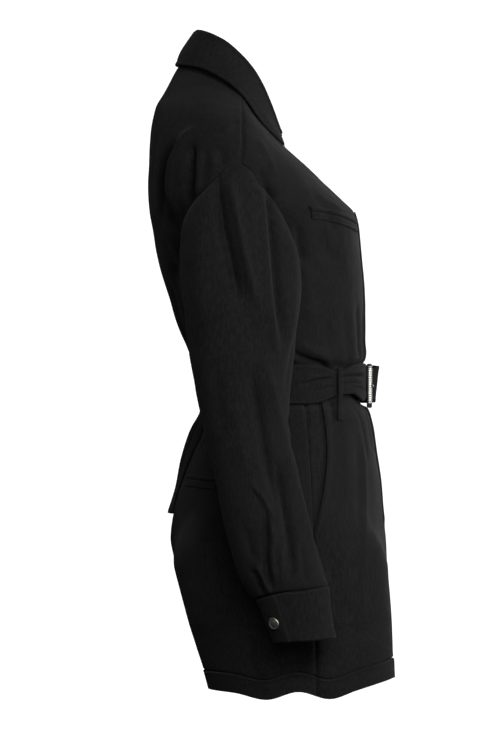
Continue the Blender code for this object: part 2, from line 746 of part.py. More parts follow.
def belt_normal(angle, height):
    return form_normal(belt_point, angle, min(max(height, BELT_BOTTOM + 0.2), BELT_TOP - 0.2))


def angle_at(form, y, height, low=0.02, high=math.pi - 0.02):
    for _ in range(40):
        middle = (low + high) / 2
        low, high = (middle, high) if form(middle, height)[1] < y else (low, middle)
    return low


def angle_at_x(form, x, height, low, high):
    """The angle between two where the form's x passes the one wanted, going from low to high."""
    rising = form(high, height)[0] > form(low, height)[0]
    for _ in range(40):
        middle = (low + high) / 2
        past = (form(middle, height)[0] > x) == rising
        low, high = (low, middle) if past else (middle, high)
    return low


def make_belt():
    turns = np.arange(BELT_COLUMNS) * 2 * math.pi / BELT_COLUMNS
    places = [[(a, h) for a in turns] for h in (BELT_TOP, BELT_BOTTOM)]
    outer, out = form_grid(belt_point, belt_normal, places)
    wall("belt", outer, out, DOUBLE, cloth("belt"), wrap=True)

    close = BELT_END[-1]
    last = angle_at_x(belt_point, -TAIL_RIGHT, BELT_TOP, math.pi / 2, math.pi)
    first = angle_at_x(belt_point, -close.x, BELT_TOP, 0.0, math.pi / 2)
    far = [a for a in turns if first + 0.1 < a < last - 0.02] + [last]
    rows = []
    for edge, inward, field in ((BELT_TOP, -1, "top"), (BELT_BOTTOM, 1, "bottom")):
        stations = []
        for rise in BELT_END:
            height = edge + inward * (0.5 + rise.narrow)
            angle = angle_at_x(belt_point, -rise.x, height, 0.0, math.pi / 2)
            stations.append((angle, height, getattr(rise, field)))
        stations += [(angle, edge + inward * 0.5, getattr(close, field)) for angle in far]
        rows.append([belt_point(-a, h) + belt_normal(-a, h) * out for a, h, out in stations])
    outer = np.array(rows)
    wall("belt_end", outer, grid_normals(outer, wrap=False), DOUBLE, cloth("belt_end"))

    path = spaced(catmull([(p.y, p.z) for p in TAIL]), 8)
    rows = []
    for y, z in path:
        seat = shorts_point(math.pi - 0.05, z)[1] + DOUBLE + TAIL_LEAN
        inner = min(seat, y)
        centre = [(TAIL_LEFT + TAIL_RIGHT) / 2, (inner + 2 * y) / 3, z]
        rows.append([[TAIL_RIGHT, inner, z], centre, [TAIL_LEFT, y, z]])
    outer = np.array(rows)
    out = grid_normals(outer, wrap=False)
    out = out * np.sign(out[0, 0, 1])
    wall("belt_tail", outer, out, DOUBLE, cloth("belt_tail"))


def make_loops():
    for place in ("front", "back"):
        for side, hand, over in (("right", 1.0, 0.0), ("left", -1.0, BELT_END[-1].top)):
            rows, normals = [], []
            for height in LOOP_HEIGHTS:
                on_belt = height > BELT_BOTTOM
                form, normal_of = (belt_point, belt_normal) if on_belt else (shorts_point, shorts_normal)
                lift = LIFT + CLOTH + (over if on_belt else 0)
                if place == "front":
                    angle = angle_at(form, LOOP_FRONT_Y, height, 0.3, math.pi - 0.3)
                else:
                    angle = angle_at_x(form, LOOP_BACK_X, height, math.pi / 2, math.pi - 0.1)
                centre, normal = form(angle, height), normal_of(angle, height)
                across = unit(np.cross(normal, [0, 0, 1]))
                rows.append([centre + normal * lift + across * s * LOOP_WIDTH / 2 for s in (-1, 1)])
                normals.append([normal, normal])
            outer, out = np.array(rows), np.array(normals)
            if hand < 0:
                outer, out = mirrored(outer), mirrored(out)
            wall(f"belt_loop_{place}_{side}", outer, out, CLOTH, cloth("belt_loop"))


def rounded_outline(wide, tall, radius, per_corner=4):
    points = []
    for quarter, (sx, sz) in enumerate(((1, 1), (-1, 1), (-1, -1), (1, -1))):
        for turn in np.linspace(0, math.pi / 2, per_corner):
            angle = turn + quarter * math.pi / 2
            x = sx * (wide / 2 - radius) + radius * math.cos(angle)
            points.append([x, sz * (tall / 2 - radius) + radius * math.sin(angle)])
    return np.array(points)


def make_buckle():
    middle = (BELT_TOP + BELT_BOTTOM) / 2 - BUCKLE_DROP
    face = BELT[0].front - BUCKLE_STAND - BUCKLE_THICK
    outline = rounded_outline(BUCKLE_WIDE, BUCKLE_TALL, 8)
    hole = rounded_outline(BUCKLE_WIDE - 2 * BUCKLE_BAR, BUCKLE_TALL - 2 * BUCKLE_BAR, 3.5)
    outer = np.array([[[x, face, middle + z] for x, z in ring] for ring in (outline, hole)])
    out = np.broadcast_to([0.0, -1.0, 0.0], outer.shape)
    metal = material("buckle_nickel", (0.55, 0.55, 0.56), 0.3, 1.0)
    wall("buckle_frame", outer, out, BUCKLE_THICK, metal, wrap=True)

    line = ((1.0, 2.4), (-8.0, 3.0), (-BUCKLE_WIDE / 2 - 1, 2.9))
    outer = np.array([[[x, face - ahead, middle + z] for x, ahead in line] for z in (1.6, -1.6)])
    wall("buckle_prong", outer, np.broadcast_to([0.0, -1.0, 0.0], outer.shape), 2.4, metal)


def make_fly():
    rows, normals = [], []
    for height in [BELT_BOTTOM - 2, *[h for h in shorts_heights()[2:] if h >= FLY_END]]:
        across = (0, PLACKET_HALF / 2, PLACKET_HALF)
        places = [angle_at_x(shorts_point, -x, height, 0.0, math.pi / 4) for x in across]
        half = np.array([shorts_point(a, height) for a in places])
        out = np.array([shorts_normal(a, height) for a in places])
        half[0, 0] = out[0, 0] = 0
        rows.append(np.concatenate([half[::-1], mirrored(half[1:])]))
        normals.append(np.concatenate([out[::-1], mirrored(out[1:])]))
    base, out = np.array(rows), unit(np.array(normals))
    wall("fly", base + out * (LIFT + CLOTH), out, CLOTH, cloth("fly"))


def main():
    for old in list(bpy.data.objects):
        bpy.data.objects.remove(old)
    sleeve = make_bodice_and_sleeves()
    make_cuffs(sleeve)
    make_shorts()
    make_collar()
    make_placket()
    make_fly()
    make_welts()
    make_belt()
    make_loops()
    make_buckle()


main()
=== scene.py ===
# %% [markdown]
# # A belted romper in black crepe
# The garment stands as it does on a wearer, with nobody in it: a collared shirt bodice with dropped
# shoulders, full sleeves snapped at the cuff, a cloth belt through a metal buckle, and wide pleated
# shorts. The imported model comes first, as a fixed frame. Everything that shows is a thin cloth shell or
# a metal piece made here and laid on that frame's own forms, in its millimetres.

# %% The frame
import math
from collections import namedtuple

import bmesh
import bpy
import numpy as np
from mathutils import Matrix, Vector, noise


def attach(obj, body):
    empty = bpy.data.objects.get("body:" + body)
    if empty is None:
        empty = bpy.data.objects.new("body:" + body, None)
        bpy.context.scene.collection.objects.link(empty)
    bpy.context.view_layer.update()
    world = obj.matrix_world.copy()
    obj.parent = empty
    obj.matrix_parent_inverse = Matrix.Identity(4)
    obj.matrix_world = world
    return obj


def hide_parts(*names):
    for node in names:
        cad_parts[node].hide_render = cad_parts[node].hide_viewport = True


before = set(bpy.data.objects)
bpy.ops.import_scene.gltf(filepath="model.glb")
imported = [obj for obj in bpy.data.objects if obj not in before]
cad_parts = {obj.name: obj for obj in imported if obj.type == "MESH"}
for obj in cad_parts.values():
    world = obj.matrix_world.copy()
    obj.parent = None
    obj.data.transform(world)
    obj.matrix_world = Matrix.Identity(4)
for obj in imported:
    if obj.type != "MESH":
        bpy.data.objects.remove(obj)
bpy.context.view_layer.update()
MM = 0.001

# %% [markdown]
# ## Camera, floor and light
# The view is from the wearer's right, level with the waist, through a long lens from far away, so near
# and far cloth keep nearly the same scale. Black cloth shows its folds only by the light it catches. The
# strongest light stands high beside the camera, towards the front, and picks out each fold from above.
# Softer ones fill the front, the near side and the far side, and the back stays dark. The sky is white
# where the camera sees it, and dim as a light, as in a studio with white paper all round.

# %% Camera and studio
MID_Y, MID_Z = -12.5, -334.4  # what the camera looks at
FAR = 9000.0  # from the camera to the garment's near side
SIGHT = 918.75  # height of the view at the garment
NEAR_SIDE = -100.0  # the plane across the view in which SIGHT is measured

camera = bpy.data.objects.new("camera", bpy.data.cameras.new("camera"))
bpy.context.scene.collection.objects.link(camera)
camera.location = Vector((NEAR_SIDE - FAR, MID_Y, MID_Z)) * MM
camera.rotation_euler = (math.pi / 2, 0, -math.pi / 2)
camera.data.sensor_width = 36
camera.data.lens = 36 * FAR / SIGHT
camera.data.clip_end = 100
bpy.context.scene.camera = camera
bpy.context.scene.view_settings.view_transform = "Standard"


def lamp(name, place, aim, size, power):
    """A soft round light: where it stands and aims in metres, how wide it is, and its watts."""
    data = bpy.data.lights.new(name, "AREA")
    data.shape, data.size, data.energy = "DISK", size, power
    made = bpy.data.objects.new(name, data)
    made.location = place
    made.rotation_euler = (Vector(aim) - Vector(place)).to_track_quat("-Z", "Y").to_euler()
    bpy.context.scene.collection.objects.link(made)
    return made


lamp("front_light", (0.2, -2.4, 0.0), (0, 0, -0.2), 1.2, 9)
lamp("low_light", (-0.8, -2.4, -0.4), (0, 0, -0.2), 1.2, 8)
lamp("high_light", (-2.3, -0.9, 0.9), (0, 0, -0.1), 1.2, 24)
lamp("side_light", (-2.6, -0.2, 0.2), (0, 0, -0.2), 1.6, 12)
lamp("left_light", (2.3, -0.9, 0.0), (0, 0, -0.2), 1.2, 8)
lamp("rear_light", (-2.0, 1.4, 0.8), (0, 0, -0.2), 1.4, 2)
lamp("back_light", (1.7, 1.8, 0.8), (0, 0, -0.2), 1.2, 2.5)

sky = bpy.data.worlds.new("studio")
bpy.context.scene.world = sky
sky.use_nodes = True
SKY_SEEN, SKY_LIGHT = 1.2, 0.03
glow = sky.node_tree.nodes["Background"]
glow.inputs["Color"].default_value = (1, 1, 1, 1)


def add_node(tree, kind, inputs=(), **settings):
    """A node with its settings. An input is given a value, or another node's output to link from."""
    node = tree.nodes.new(kind)
    for name, value in settings.items():
        setattr(node, name, value)
    for name, value in dict(inputs).items():
        if isinstance(value, bpy.types.NodeSocket):
            tree.links.new(value, node.inputs[name])
        else:
            node.inputs[name].default_value = value
    return node


def seen_only(tree, socket, light, seen):
    """Gives a socket one strength where it is looked at, and another as a source of light."""
    looked_at = add_node(tree, "ShaderNodeLightPath").outputs["Is Camera Ray"]
    strength = add_node(tree, "ShaderNodeMapRange", {"Value": looked_at, "To Min": light, "To Max": seen})
    tree.links.new(strength.outputs["Result"], socket)


seen_only(sky.node_tree, glow.inputs["Strength"], SKY_LIGHT, SKY_SEEN)

FLOOR_WIDE, FLOOR_LEVEL = 60.0, -0.95  # m
bpy.ops.mesh.primitive_plane_add(size=FLOOR_WIDE, location=(0, 0, FLOOR_LEVEL))
floor = bpy.context.object
floor.name = "floor"
print("camera lens", round(camera.data.lens), "mm")

# %% [markdown]
# ## Materials
# One cloth makes the whole garment: a matte black crepe with a fine twill line. Crepe is woven from
# hard-twisted yarn, so its face is pebbled and never shines. It gives back very little light, with a
# faint lift where it turns away. Each shell carries a map of its own cloth in metres, so the twill runs
# along every piece as it was cut. The metal is nickel: the snaps satin from the mould, the buckle
# polished.

# %% Nodes and colours
def linear(code):
    """A hex colour as the shader wants it."""
    parts = [int(code[i : i + 2], 16) / 255 for i in (1, 3, 5)]
    return (*[c / 12.92 if c <= 0.04045 else ((c + 0.055) / 1.055) ** 2.4 for c in parts], 1.0)


def new_finish(name):
    """A new material, its nodes and the shader at its heart."""
    made = bpy.data.materials.new(name)
    made.use_nodes = True
    return made, made.node_tree, made.node_tree.nodes["Principled BSDF"]


def set_inputs(shader, **values):
    """Sets the shader's own inputs. An underscore stands for a space."""
    for name, value in values.items():
        shader.inputs[name.replace("_", " ")].default_value = value


print("middle grey as the shader wants it:", round(linear("#808080")[0], 3))

# %% Black crepe
TWILL_PITCH = 1.3  # mm. The real line is about half that, too fine to show, so it is drawn coarser
TWILL_LEAN = math.radians(63)
WAVE_STEP = 0.31  # the wave pattern's scale at which its lines are one unit apart
PEBBLE = 1.9  # mm, the crepe's grain, also drawn coarser than it is
SLUB, CLOUD = 3.2, 60.0  # mm: thick places along the yarn, and the soft unevenness of the dye


def black_crepe(name, dark, light):
    """Crepe between two near-black colours, its yarns pebbled and its twill line across the cloth."""
    made, tree, shader = new_finish(name)
    cloth_map = add_node(tree, "ShaderNodeUVMap", uv_map="cloth").outputs["UV"]
    turned = add_node(tree, "ShaderNodeMapping", {"Vector": cloth_map, "Rotation": (0, 0, TWILL_LEAN)})
    twill = add_node(tree, "ShaderNodeTexWave", {
        "Vector": turned.outputs["Vector"], "Scale": WAVE_STEP / (TWILL_PITCH * MM), "Distortion": 1.5,
        "Detail": 2.0, "Detail Scale": 2.0,
    })
    grain = add_node(tree, "ShaderNodeTexNoise", {
        "Vector": cloth_map, "Scale": 1 / (PEBBLE * MM), "Detail": 3.0,
    })
    drawn_out = add_node(tree, "ShaderNodeMapping", {"Vector": cloth_map, "Scale": (1.0, 0.3, 1.0)})
    slub = add_node(tree, "ShaderNodeTexNoise", {
        "Vector": drawn_out.outputs["Vector"], "Scale": 1 / (SLUB * MM), "Detail": 2.0,
    })
    cloudy = add_node(tree, "ShaderNodeTexNoise", {
        "Vector": cloth_map, "Scale": 1 / (CLOUD * MM), "Detail": 2.0,
    })
    cloud = add_node(tree, "ShaderNodeMapRange", {
        "Value": cloudy.outputs["Fac"], "To Min": 0.35, "To Max": 0.65,
    })
    yarns = {0: grain.outputs["Fac"], 1: slub.outputs["Fac"]}
    woven = add_node(tree, "ShaderNodeMath", yarns, operation="ADD").outputs[0]
    dyed = add_node(tree, "ShaderNodeMath", {0: woven, 1: cloud.outputs["Result"]}, operation="ADD")
    tone = add_node(tree, "ShaderNodeMapRange", {
        "Value": dyed.outputs[0], "From Min": 1.15, "From Max": 1.85,
    })
    colour = add_node(tree, "ShaderNodeMix", {"Factor": tone.outputs["Result"]}, data_type="RGBA")
    for socket, value in zip([s for s in colour.inputs if s.type == "RGBA"], (linear(dark), linear(light))):
        socket.default_value = value
    tree.links.new([s for s in colour.outputs if s.type == "RGBA"][0], shader.inputs["Base Color"])
    line = add_node(tree, "ShaderNodeMath", {0: twill.outputs["Fac"], 1: 0.35}, operation="MULTIPLY")
    height = add_node(tree, "ShaderNodeMath", {0: line.outputs[0], 1: grain.outputs["Fac"]}, operation="ADD")
    bump = add_node(tree, "ShaderNodeBump", {
        "Height": height.outputs[0], "Strength": 0.8, "Distance": 0.6 * MM,
    })
    tree.links.new(bump.outputs["Normal"], shader.inputs["Normal"])
    set_inputs(shader, Roughness=0.82, Specular_IOR_Level=0.22, Sheen_Weight=0.06, Sheen_Roughness=0.45)
    return made


CREPE = black_crepe("black_crepe", "#131213", "#2a292a")
white_paper, paper_nodes, paper_shader = new_finish("white_paper")
set_inputs(
    paper_shader, Base_Color=linear("#101010"), Roughness=1.0, Specular_IOR_Level=0.0,
    Emission_Color=(1, 1, 1, 1),
)
seen_only(paper_nodes, paper_shader.inputs["Emission Strength"], 0.0, SKY_SEEN)
floor.data.materials.append(white_paper)
print("finishes:", [m.name for m in (CREPE, white_paper)])

# %% [markdown]
# ## The form under the cloth
# The garment's form is a stack of rings, each with its half width, its front and back, where it is
# widest, how it tips and how square it is. Between rings the values follow a curve that never
# overshoots. A point of the form has two numbers: an angle, from the middle front round by the wearer's
# right, and a height. Cloth panels are cut out of this by their seams.

# %% Curves
def smooth(xs, ys, at):
    """Values between the given ones, on a curve that never overshoots them."""
    order = np.argsort(xs)
    xs, ys = np.array(xs, float)[order], np.array(ys, float)[order]
    steps = np.diff(ys) / np.diff(xs)
    before, after = steps[:-1], steps[1:]
    turning = before * after <= 0
    inner = np.where(turning, 0.0, 2 * before * after / np.where(turning, 1.0, before + after))
    slopes = np.concatenate([steps[:1], inner, steps[-1:]])
    at = np.clip(at, xs[0], xs[-1])
    i = np.clip(np.searchsorted(xs, at, side="right") - 1, 0, len(xs) - 2)
    width = xs[i + 1] - xs[i]
    u = (at - xs[i]) / width
    bend = width * u * (1 - u) * ((1 - u) * slopes[i] - u * slopes[i + 1])
    return ys[i] + (ys[i + 1] - ys[i]) * (3 - 2 * u) * u * u + bend


def catmull(points, per_span=12):
    """A dense smooth path through the points."""
    points = np.array(points, float)
    ends = np.vstack([2 * points[0] - points[1], points, 2 * points[-1] - points[-2]])
    path = []
    for a, b, c, d in zip(ends, ends[1:], ends[2:], ends[3:]):
        for u in np.arange(per_span) / per_span:
            curve = 2 * b + (c - a) * u + (2 * a - 5 * b + 4 * c - d) * u * u
            path.append(0.5 * (curve + (3 * b - a - 3 * c + d) * u**3))
    return np.array(path + [points[-1]])


def lengths(path):
    """How far along a path each of its points is."""
    return np.concatenate([[0], np.cumsum(np.linalg.norm(np.diff(path, axis=0), axis=1))])


def spaced(path, count):
    """The path again as count equal steps."""
    along = lengths(path)
    at = np.linspace(0, along[-1], count + 1)
    return np.stack([np.interp(at, along, path[:, k]) for k in range(path.shape[1])], axis=1)


def unit(vector):
    vector = np.asarray(vector, float)
    return vector / np.maximum(np.linalg.norm(vector, axis=-1, keepdims=True), 1e-12)


def ease(value):
    """From 0 to 1 with a soft start and a soft stop."""
    value = np.clip(value, 0.0, 1.0)
    return value * value * (3 - 2 * value)


def power_of(value, power):
    return np.sign(value) * np.abs(value) ** power


def bead(distance, at, wide):
    """A soft rise of 1 at one distance, gone within about twice its width on each side."""
    return np.exp(-(((distance - at) / wide) ** 2))


def blend(start, end, share):
    """Part of the way from start to end."""
    return start * (1 - share) + end * share


print("ease a quarter of the way:", ease(0.25), "bead one width out:", round(float(bead(1.0, 0.0, 1.0)), 2))

# %% Rings of the bodice
PASSING = 0.1  # mm: a stitch holds two pieces shut at their seam, so they meet and pass a little
WAIST, NECK, V_BOTTOM, NECK_HALF = -357.0, 12.0, -138.0, 75.0
SETTLE_STEPS = 20  # rounds in which a tipped ring's height settles
Ring = namedtuple("Ring", "height side front back middle tilt square")
BODICE = [
    Ring(-357, 128, -155, 36, -56, 0.00, 2.1),
    Ring(-334, 130, -156, 41, -52, 0.00, 2.1),
    Ring(-322, 139, -161, 52, -47, 0.00, 2.2),
    Ring(-290, 147, -163, 70, -36, 0.00, 2.3),
    Ring(-240, 156, -162, 86, -22, 0.00, 2.3),
    Ring(-200, 167, -159, 97, -12, 0.00, 2.3),
    Ring(-160, 190, -155, 104, -9, 0.00, 2.3),
    Ring(-138, 206, -149, 108, -9, 0.00, 2.3),
    Ring(-125, 214, -136, 109, -9, 0.00, 2.3),
    Ring(-100, 223, -112, 110, -9, 0.02, 2.2),
    Ring(-84, 222, -97, 109, -9, 0.04, 2.2),
    Ring(-70, 215, -84, 108, -9, 0.07, 2.2),
    Ring(-52, 200, -66, 106, -9, 0.12, 2.2),
    Ring(-31, 175, -45, 100, -9, 0.22, 2.2),
    Ring(-18, 150, -32, 90, -9, 0.29, 2.2),
    Ring(-8, 125, -24, 83, -9, 0.35, 2.2),
    Ring(2, 100, -17, 76, -9, 0.42, 2.1),
    Ring(12, 75, -13, 68, -9, 0.50, 2.0),
]


def ring_at(table, height):
    """A ring of the stack at any height."""
    heights = [ring.height for ring in table]
    return Ring(height, *[smooth(heights, [r[k] for r in table], height) for k in range(1, 7)])


def bodice_point(angle, height):
    """Points of the bodice's outer face."""
    ring = ring_at(BODICE, height)
    sine, cosine = np.sin(angle), np.cos(angle)
    reach = np.where(cosine > 0, ring.middle - ring.front, ring.back - ring.middle)
    y = ring.middle - reach * power_of(cosine, 2 / ring.square)
    x = -ring.side * power_of(sine, 2 / ring.square)
    return np.stack([x, y, height + ring.tilt * (y - ring.middle)], axis=-1)


def form_normal(form, angle, height):
    """The outward directions of a form that is given by an angle and a height."""
    turn, rise = 1e-3, 0.2
    across = form(angle + turn, height) - form(angle - turn, height)
    up = form(angle, height + rise) - form(angle, height - rise)
    return unit(np.cross(up, across))


def bodice_normal(angle, height):
    return form_normal(bodice_point, angle, height)


def bodice_place(y, z):
    """The angle and height of the bodice's points that show at (y, z) from the wearer's right."""
    height = np.array(z, float)
    for _ in range(SETTLE_STEPS):
        ring = ring_at(BODICE, height)
        height = z - ring.tilt * (y - ring.middle)
    ring = ring_at(BODICE, height)
    reach = np.where(y < ring.middle, ring.middle - ring.front, ring.back - ring.middle)
    share = np.minimum(np.abs(y - ring.middle) / reach, 1.0)
    lean = np.arccos(share ** (ring.square / 2))
    return np.stack([np.where(y < ring.middle, lean, math.pi - lean), height], axis=-1)


print("waist to neck:", NECK - WAIST, "mm")

# %% Rings of the shorts
HEM, CROTCH, FORK, THIGH, LEG_APART = -735.0, -655.0, -585.0, -480.0, 11.0
HALVINGS = 40  # steps in which a search closes in on an angle
BELT_TOP, BELT_BOTTOM = -331.0, -380.0
SHORTS = [
    Ring(-735, 192, -199, 33, -82, 0.0, 2.3),
    Ring(-706, 191, -198, 41, -78, 0.0, 2.3),
    Ring(-637, 190, -195, 63, -66, 0.0, 2.3),
    Ring(-577, 188, -191, 77, -58, 0.0, 2.3),
    Ring(-550, 186, -190, 81, -56, 0.0, 2.3),
    Ring(-507, 180, -186, 75, -56, 0.0, 2.3),
    Ring(-474, 173, -183, 65, -58, 0.0, 2.3),
    Ring(-440, 163, -178, 51, -62, 0.0, 2.2),
    Ring(-420, 156, -175, 41, -64, 0.0, 2.2),
    Ring(-400, 147, -171, 35, -64, 0.0, 2.2),
    Ring(-388, 138, -167, 34, -62, 0.0, 2.1),
    Ring(-379, 129, -158, 34, -58, 0.0, 2.1),
    Ring(-357, 127, -155, 36, -56, 0.0, 2.1),
]
BELT = [
    Ring(BELT_BOTTOM, 134, -166, 39, -56, 0.0, 2.1),
    Ring(BELT_TOP, 138, -166, 50, -56, 0.0, 2.1),
]
SidePoint = namedtuple("SidePoint", "y z")  # a point as it shows from the wearer's right


def side_points(*pairs):
    """The points of a line that shows from the side, from their pairs of y and z."""
    return [SidePoint(*pair) for pair in pairs]


HEM_LINE = side_points(
    (-197, -721), (-150, -735), (-117, -745), (-79, -736), (-39, -746), (0, -738), (33, -735),
)


def shorts_point(angle, height):
    """Points of the shorts' outer face on the wearer's right, from the front seam to the back seam. The
    hips are one ring. Over the thighs it turns into a ring for each leg, whose inner half starts flat
    and rounds under as the crotch seam does."""
    ring = ring_at(SHORTS, height)
    depth = np.clip((FORK - height) / (FORK - CROTCH), 0.0, 1.0)
    seam = np.sqrt(1 - depth * depth)
    legs = ease((THIGH - height) / (THIGH - FORK))
    inner = LEG_APART * ease((CROTCH - height) / 45)
    power = 2 / ring.square
    sine, cosine = np.abs(np.sin(angle)) ** power, np.abs(np.cos(angle)) ** power
    turn = 2 * angle - math.pi / 2
    leg_sine, leg_cosine = np.abs(np.sin(turn)) ** power, np.abs(np.cos(turn)) ** power
    inside = np.abs(angle - math.pi / 2) > math.pi / 4
    leg_sine = np.where(inside, -leg_sine, leg_sine)
    leg_cosine = np.where(inside, np.hypot(seam, leg_cosine * depth), leg_cosine)
    centre, half = (ring.side + inner) / 2, (ring.side - inner) / 2
    x = (1 - legs) * ring.side * sine + legs * (centre + half * leg_sine)
    level = (1 - legs) * cosine + legs * leg_cosine
    forward = ring.middle - level * (ring.middle - ring.front)
    backward = ring.middle + level * (ring.back - ring.middle)
    y = np.where(angle < math.pi / 2, forward, backward)
    hem = smooth([p.y for p in HEM_LINE], [p.z for p in HEM_LINE], y) - HEM
    return np.stack([-x, y, height + hem * ease((-590 - height) / 145)], axis=-1)


def shorts_normal(angle, height):
    return form_normal(shorts_point, np.clip(angle, 2e-3, math.pi - 2e-3), height)


def place_by_y(form, y, height, low, high):
    """The angles where a form reaches y, between two angles where its y grows."""
    low, high = np.full(np.shape(height), low), np.full(np.shape(height), high)
    for _ in range(HALVINGS):
        middle = (low + high) / 2
        short = form(middle, height)[..., 1] < y
        low, high = np.where(short, middle, low), np.where(short, high, middle)
    return low


def place_by_x(form, x, height, low, high):
    """The angles between two where a form passes x."""
    low, high = np.full(np.shape(height), low), np.full(np.shape(height), high)
    rising = form(high, height)[..., 0] > form(low, height)[..., 0]
    for _ in range(HALVINGS):
        middle = (low + high) / 2
        past = (form(middle, height)[..., 0] > x) == rising
        low, high = np.where(past, low, middle), np.where(past, middle, high)
    return low


def belt_point(angle, height):
    """Points of the belt's outer face."""
    ring = ring_at(BELT, height)
    cosine = np.cos(angle)
    reach = np.where(cosine > 0, ring.middle - ring.front, ring.back - ring.middle)
    x = -ring.side * power_of(np.sin(angle), 2 / ring.square)
    return np.stack([x, ring.middle - reach * power_of(cosine, 2 / ring.square), height], axis=-1)


def belt_normal(angle, height):
    return form_normal(belt_point, angle, np.clip(height, BELT_BOTTOM + 0.2, BELT_TOP - 0.2))


print("chest ring", ring_at(BODICE, np.array(-138.0)).side * 2, "mm wide")

# %% [markdown]
# ## Folds
# A worn garment's folds aren't noise: each starts where the cloth is held, at the shoulder, the crook of
# the armhole, the belt or a cuff, and fades where it hangs free. So each main one is laid as a
# path seen from one side of the body, with its own depth and width. A trough has a negative depth. The
# cloth moves along its own outward direction, fading to nothing where it faces away. A little soft
# unevenness goes over everything, because no worn cloth is smooth.

# %% Folds as paths
Fold = namedtuple("Fold", "seen path depth wide")
# for each side: the axes that run across and up, the axis that faces the eye, and its sign
SEEN = {"right": (1, 2, 0, -1), "left": (1, 2, 0, 1), "front": (0, 2, 1, -1), "back": (0, 2, 1, 1)}
FOLD_STEP = 1.6  # mm between the points that stand for a fold's line
HAND, FINGER = 55.0, 17.0  # mm, the sizes of the cloth's soft unevenness


def fold_relief(points, normals, folds):
    """How far each point stands out or in because of the folds, in mm."""
    total = np.zeros(points.shape[:-1])
    for fold in folds:
        across, up, facing_axis, facing_sign = SEEN[fold.seen]
        path = catmull(fold.path)
        path = spaced(path, int(lengths(path)[-1] / FOLD_STEP) + 2)
        share = np.linspace(0, 1, len(path))
        flat = points[..., [across, up]]
        facing = np.clip(4 * facing_sign * normals[..., facing_axis] - 0.2, 0, 1)
        reach = 3 * fold.wide
        low, high = path.min(0) - reach, path.max(0) + reach
        near = ((flat > low) & (flat < high)).all(-1) & (facing > 0)
        if not near.any():
            continue
        distance = np.linalg.norm(flat[near][:, None] - path[None], axis=-1)
        closest = distance.argmin(1)
        fade = ease(np.minimum(share[closest], 1 - share[closest]) * 4 + 0.08)
        total[near] += fold.depth * fade * facing[near] * np.exp(-((distance.min(1) / fold.wide) ** 1.6))
    return total


def unevenness(points, strength=1.0):
    """Soft unevenness at the size of a hand and of a finger, in mm."""
    flat = points.reshape(-1, 3)
    broad = [noise.noise(Vector(p) / HAND) for p in flat]
    fine = [noise.noise(Vector(p) / FINGER + Vector((40, 0, 0))) for p in flat]
    return strength * (1.1 * np.array(broad) + 0.32 * np.array(fine)).reshape(points.shape[:-1])


def other_side(folds, shift=0.0, deeper=1.0):
    """The same folds on the wearer's left, a little lower and deeper, as no two sides crease alike."""
    swap = {"right": "left", "left": "right"}
    made = []
    for k, fold in enumerate(folds):
        hand = 1 if fold.seen in swap else -1
        lower = shift * (1 + k % 3)
        path = [(hand * a + 0.4 * lower, z - lower) for a, z in fold.path]
        change = deeper * (0.8 + 0.13 * (k * 7 % 4))
        made.append(Fold(swap.get(fold.seen, fold.seen), path, fold.depth * change, fold.wide))
    return made


print("sides that a fold may be seen from:", ", ".join(SEEN))

# %% Folds of the bodice
RIGHT_SHOULDER_FOLDS = [
    Fold("right", [(38, -36), (52, -41), (63, -51), (73, -66), (79, -84), (81, -107), (79, -128),
                   (74, -149)], 7, 5.4),
    Fold("right", [(66, -45), (77, -58), (87, -76), (91, -95), (90, -118), (85, -138), (77, -159),
                   (67, -184)], -8.1, 5.2),
    Fold("right", [(54, -52), (56, -74), (57, -97), (58, -119), (58, -144)], -15.5, 6.2),
    Fold("right", [(48, -59), (46, -79), (46, -102), (50, -127)], 3.8, 4.4),
    Fold("right", [(36, -59), (38, -87), (40, -112)], -2.4, 4.5),
    Fold("right", [(104, -144), (93, -174), (81, -201), (69, -231)], -5.9, 6.5),
    Fold("right", [(100, -124), (89, -154), (79, -181)], 2.7, 4.5),
    Fold("right", [(83, -203), (73, -241), (63, -283)], -3.2, 7),
    Fold("right", [(21, -62), (17, -74), (16, -87)], -4.6, 5.0),
    Fold("right", [(27, -64), (26, -87), (27, -109)], 2.2, 5),
    Fold("right", [(14, -46), (9, -40), (2, -35)], 2.2, 3.0),
    Fold("right", [(2, -10), (0, -22), (-3, -37)], -1.2, 2.4),
    Fold("right", [(84, -17), (86, -32), (87, -50)], 1.2, 3.4),
]
WAIST_FOLDS = [
    Fold("right", [(-66, -310), (-77, -318), (-91, -324), (-106, -329), (-118, -337),
                   (-127, -345)], -6.2, 3.2),
    Fold("right", [(-76, -300), (-89, -310), (-106, -318), (-123, -326)], 3.2, 6.0),
    Fold("right", [(-128, -333), (-137, -328), (-148, -323), (-161, -319)], 1.8, 5),
    Fold("right", [(-127, -325), (-130, -303), (-131, -273)], -1.8, 6),
    Fold("right", [(-145, -323), (-146, -293), (-146, -255)], 1.2, 6),
    Fold("front", [(-24, -332), (-30, -300), (-34, -262)], -2.5, 8),
    Fold("front", [(-52, -334), (-60, -296), (-66, -250)], -3.2, 8),
    Fold("front", [(-84, -334), (-92, -300), (-104, -262)], -2.8, 9),
    Fold("front", [(-110, -332), (-118, -306), (-124, -276)], -2.5, 8),
    Fold("back", [(-14, -330), (-18, -286), (-16, -230)], -3.2, 10),
    Fold("back", [(-42, -332), (-52, -280), (-66, -222)], -4, 10),
    Fold("back", [(-76, -332), (-88, -290), (-104, -246)], -3.5, 9),
    Fold("back", [(-104, -328), (-114, -300), (-124, -266)], -3, 9),
]
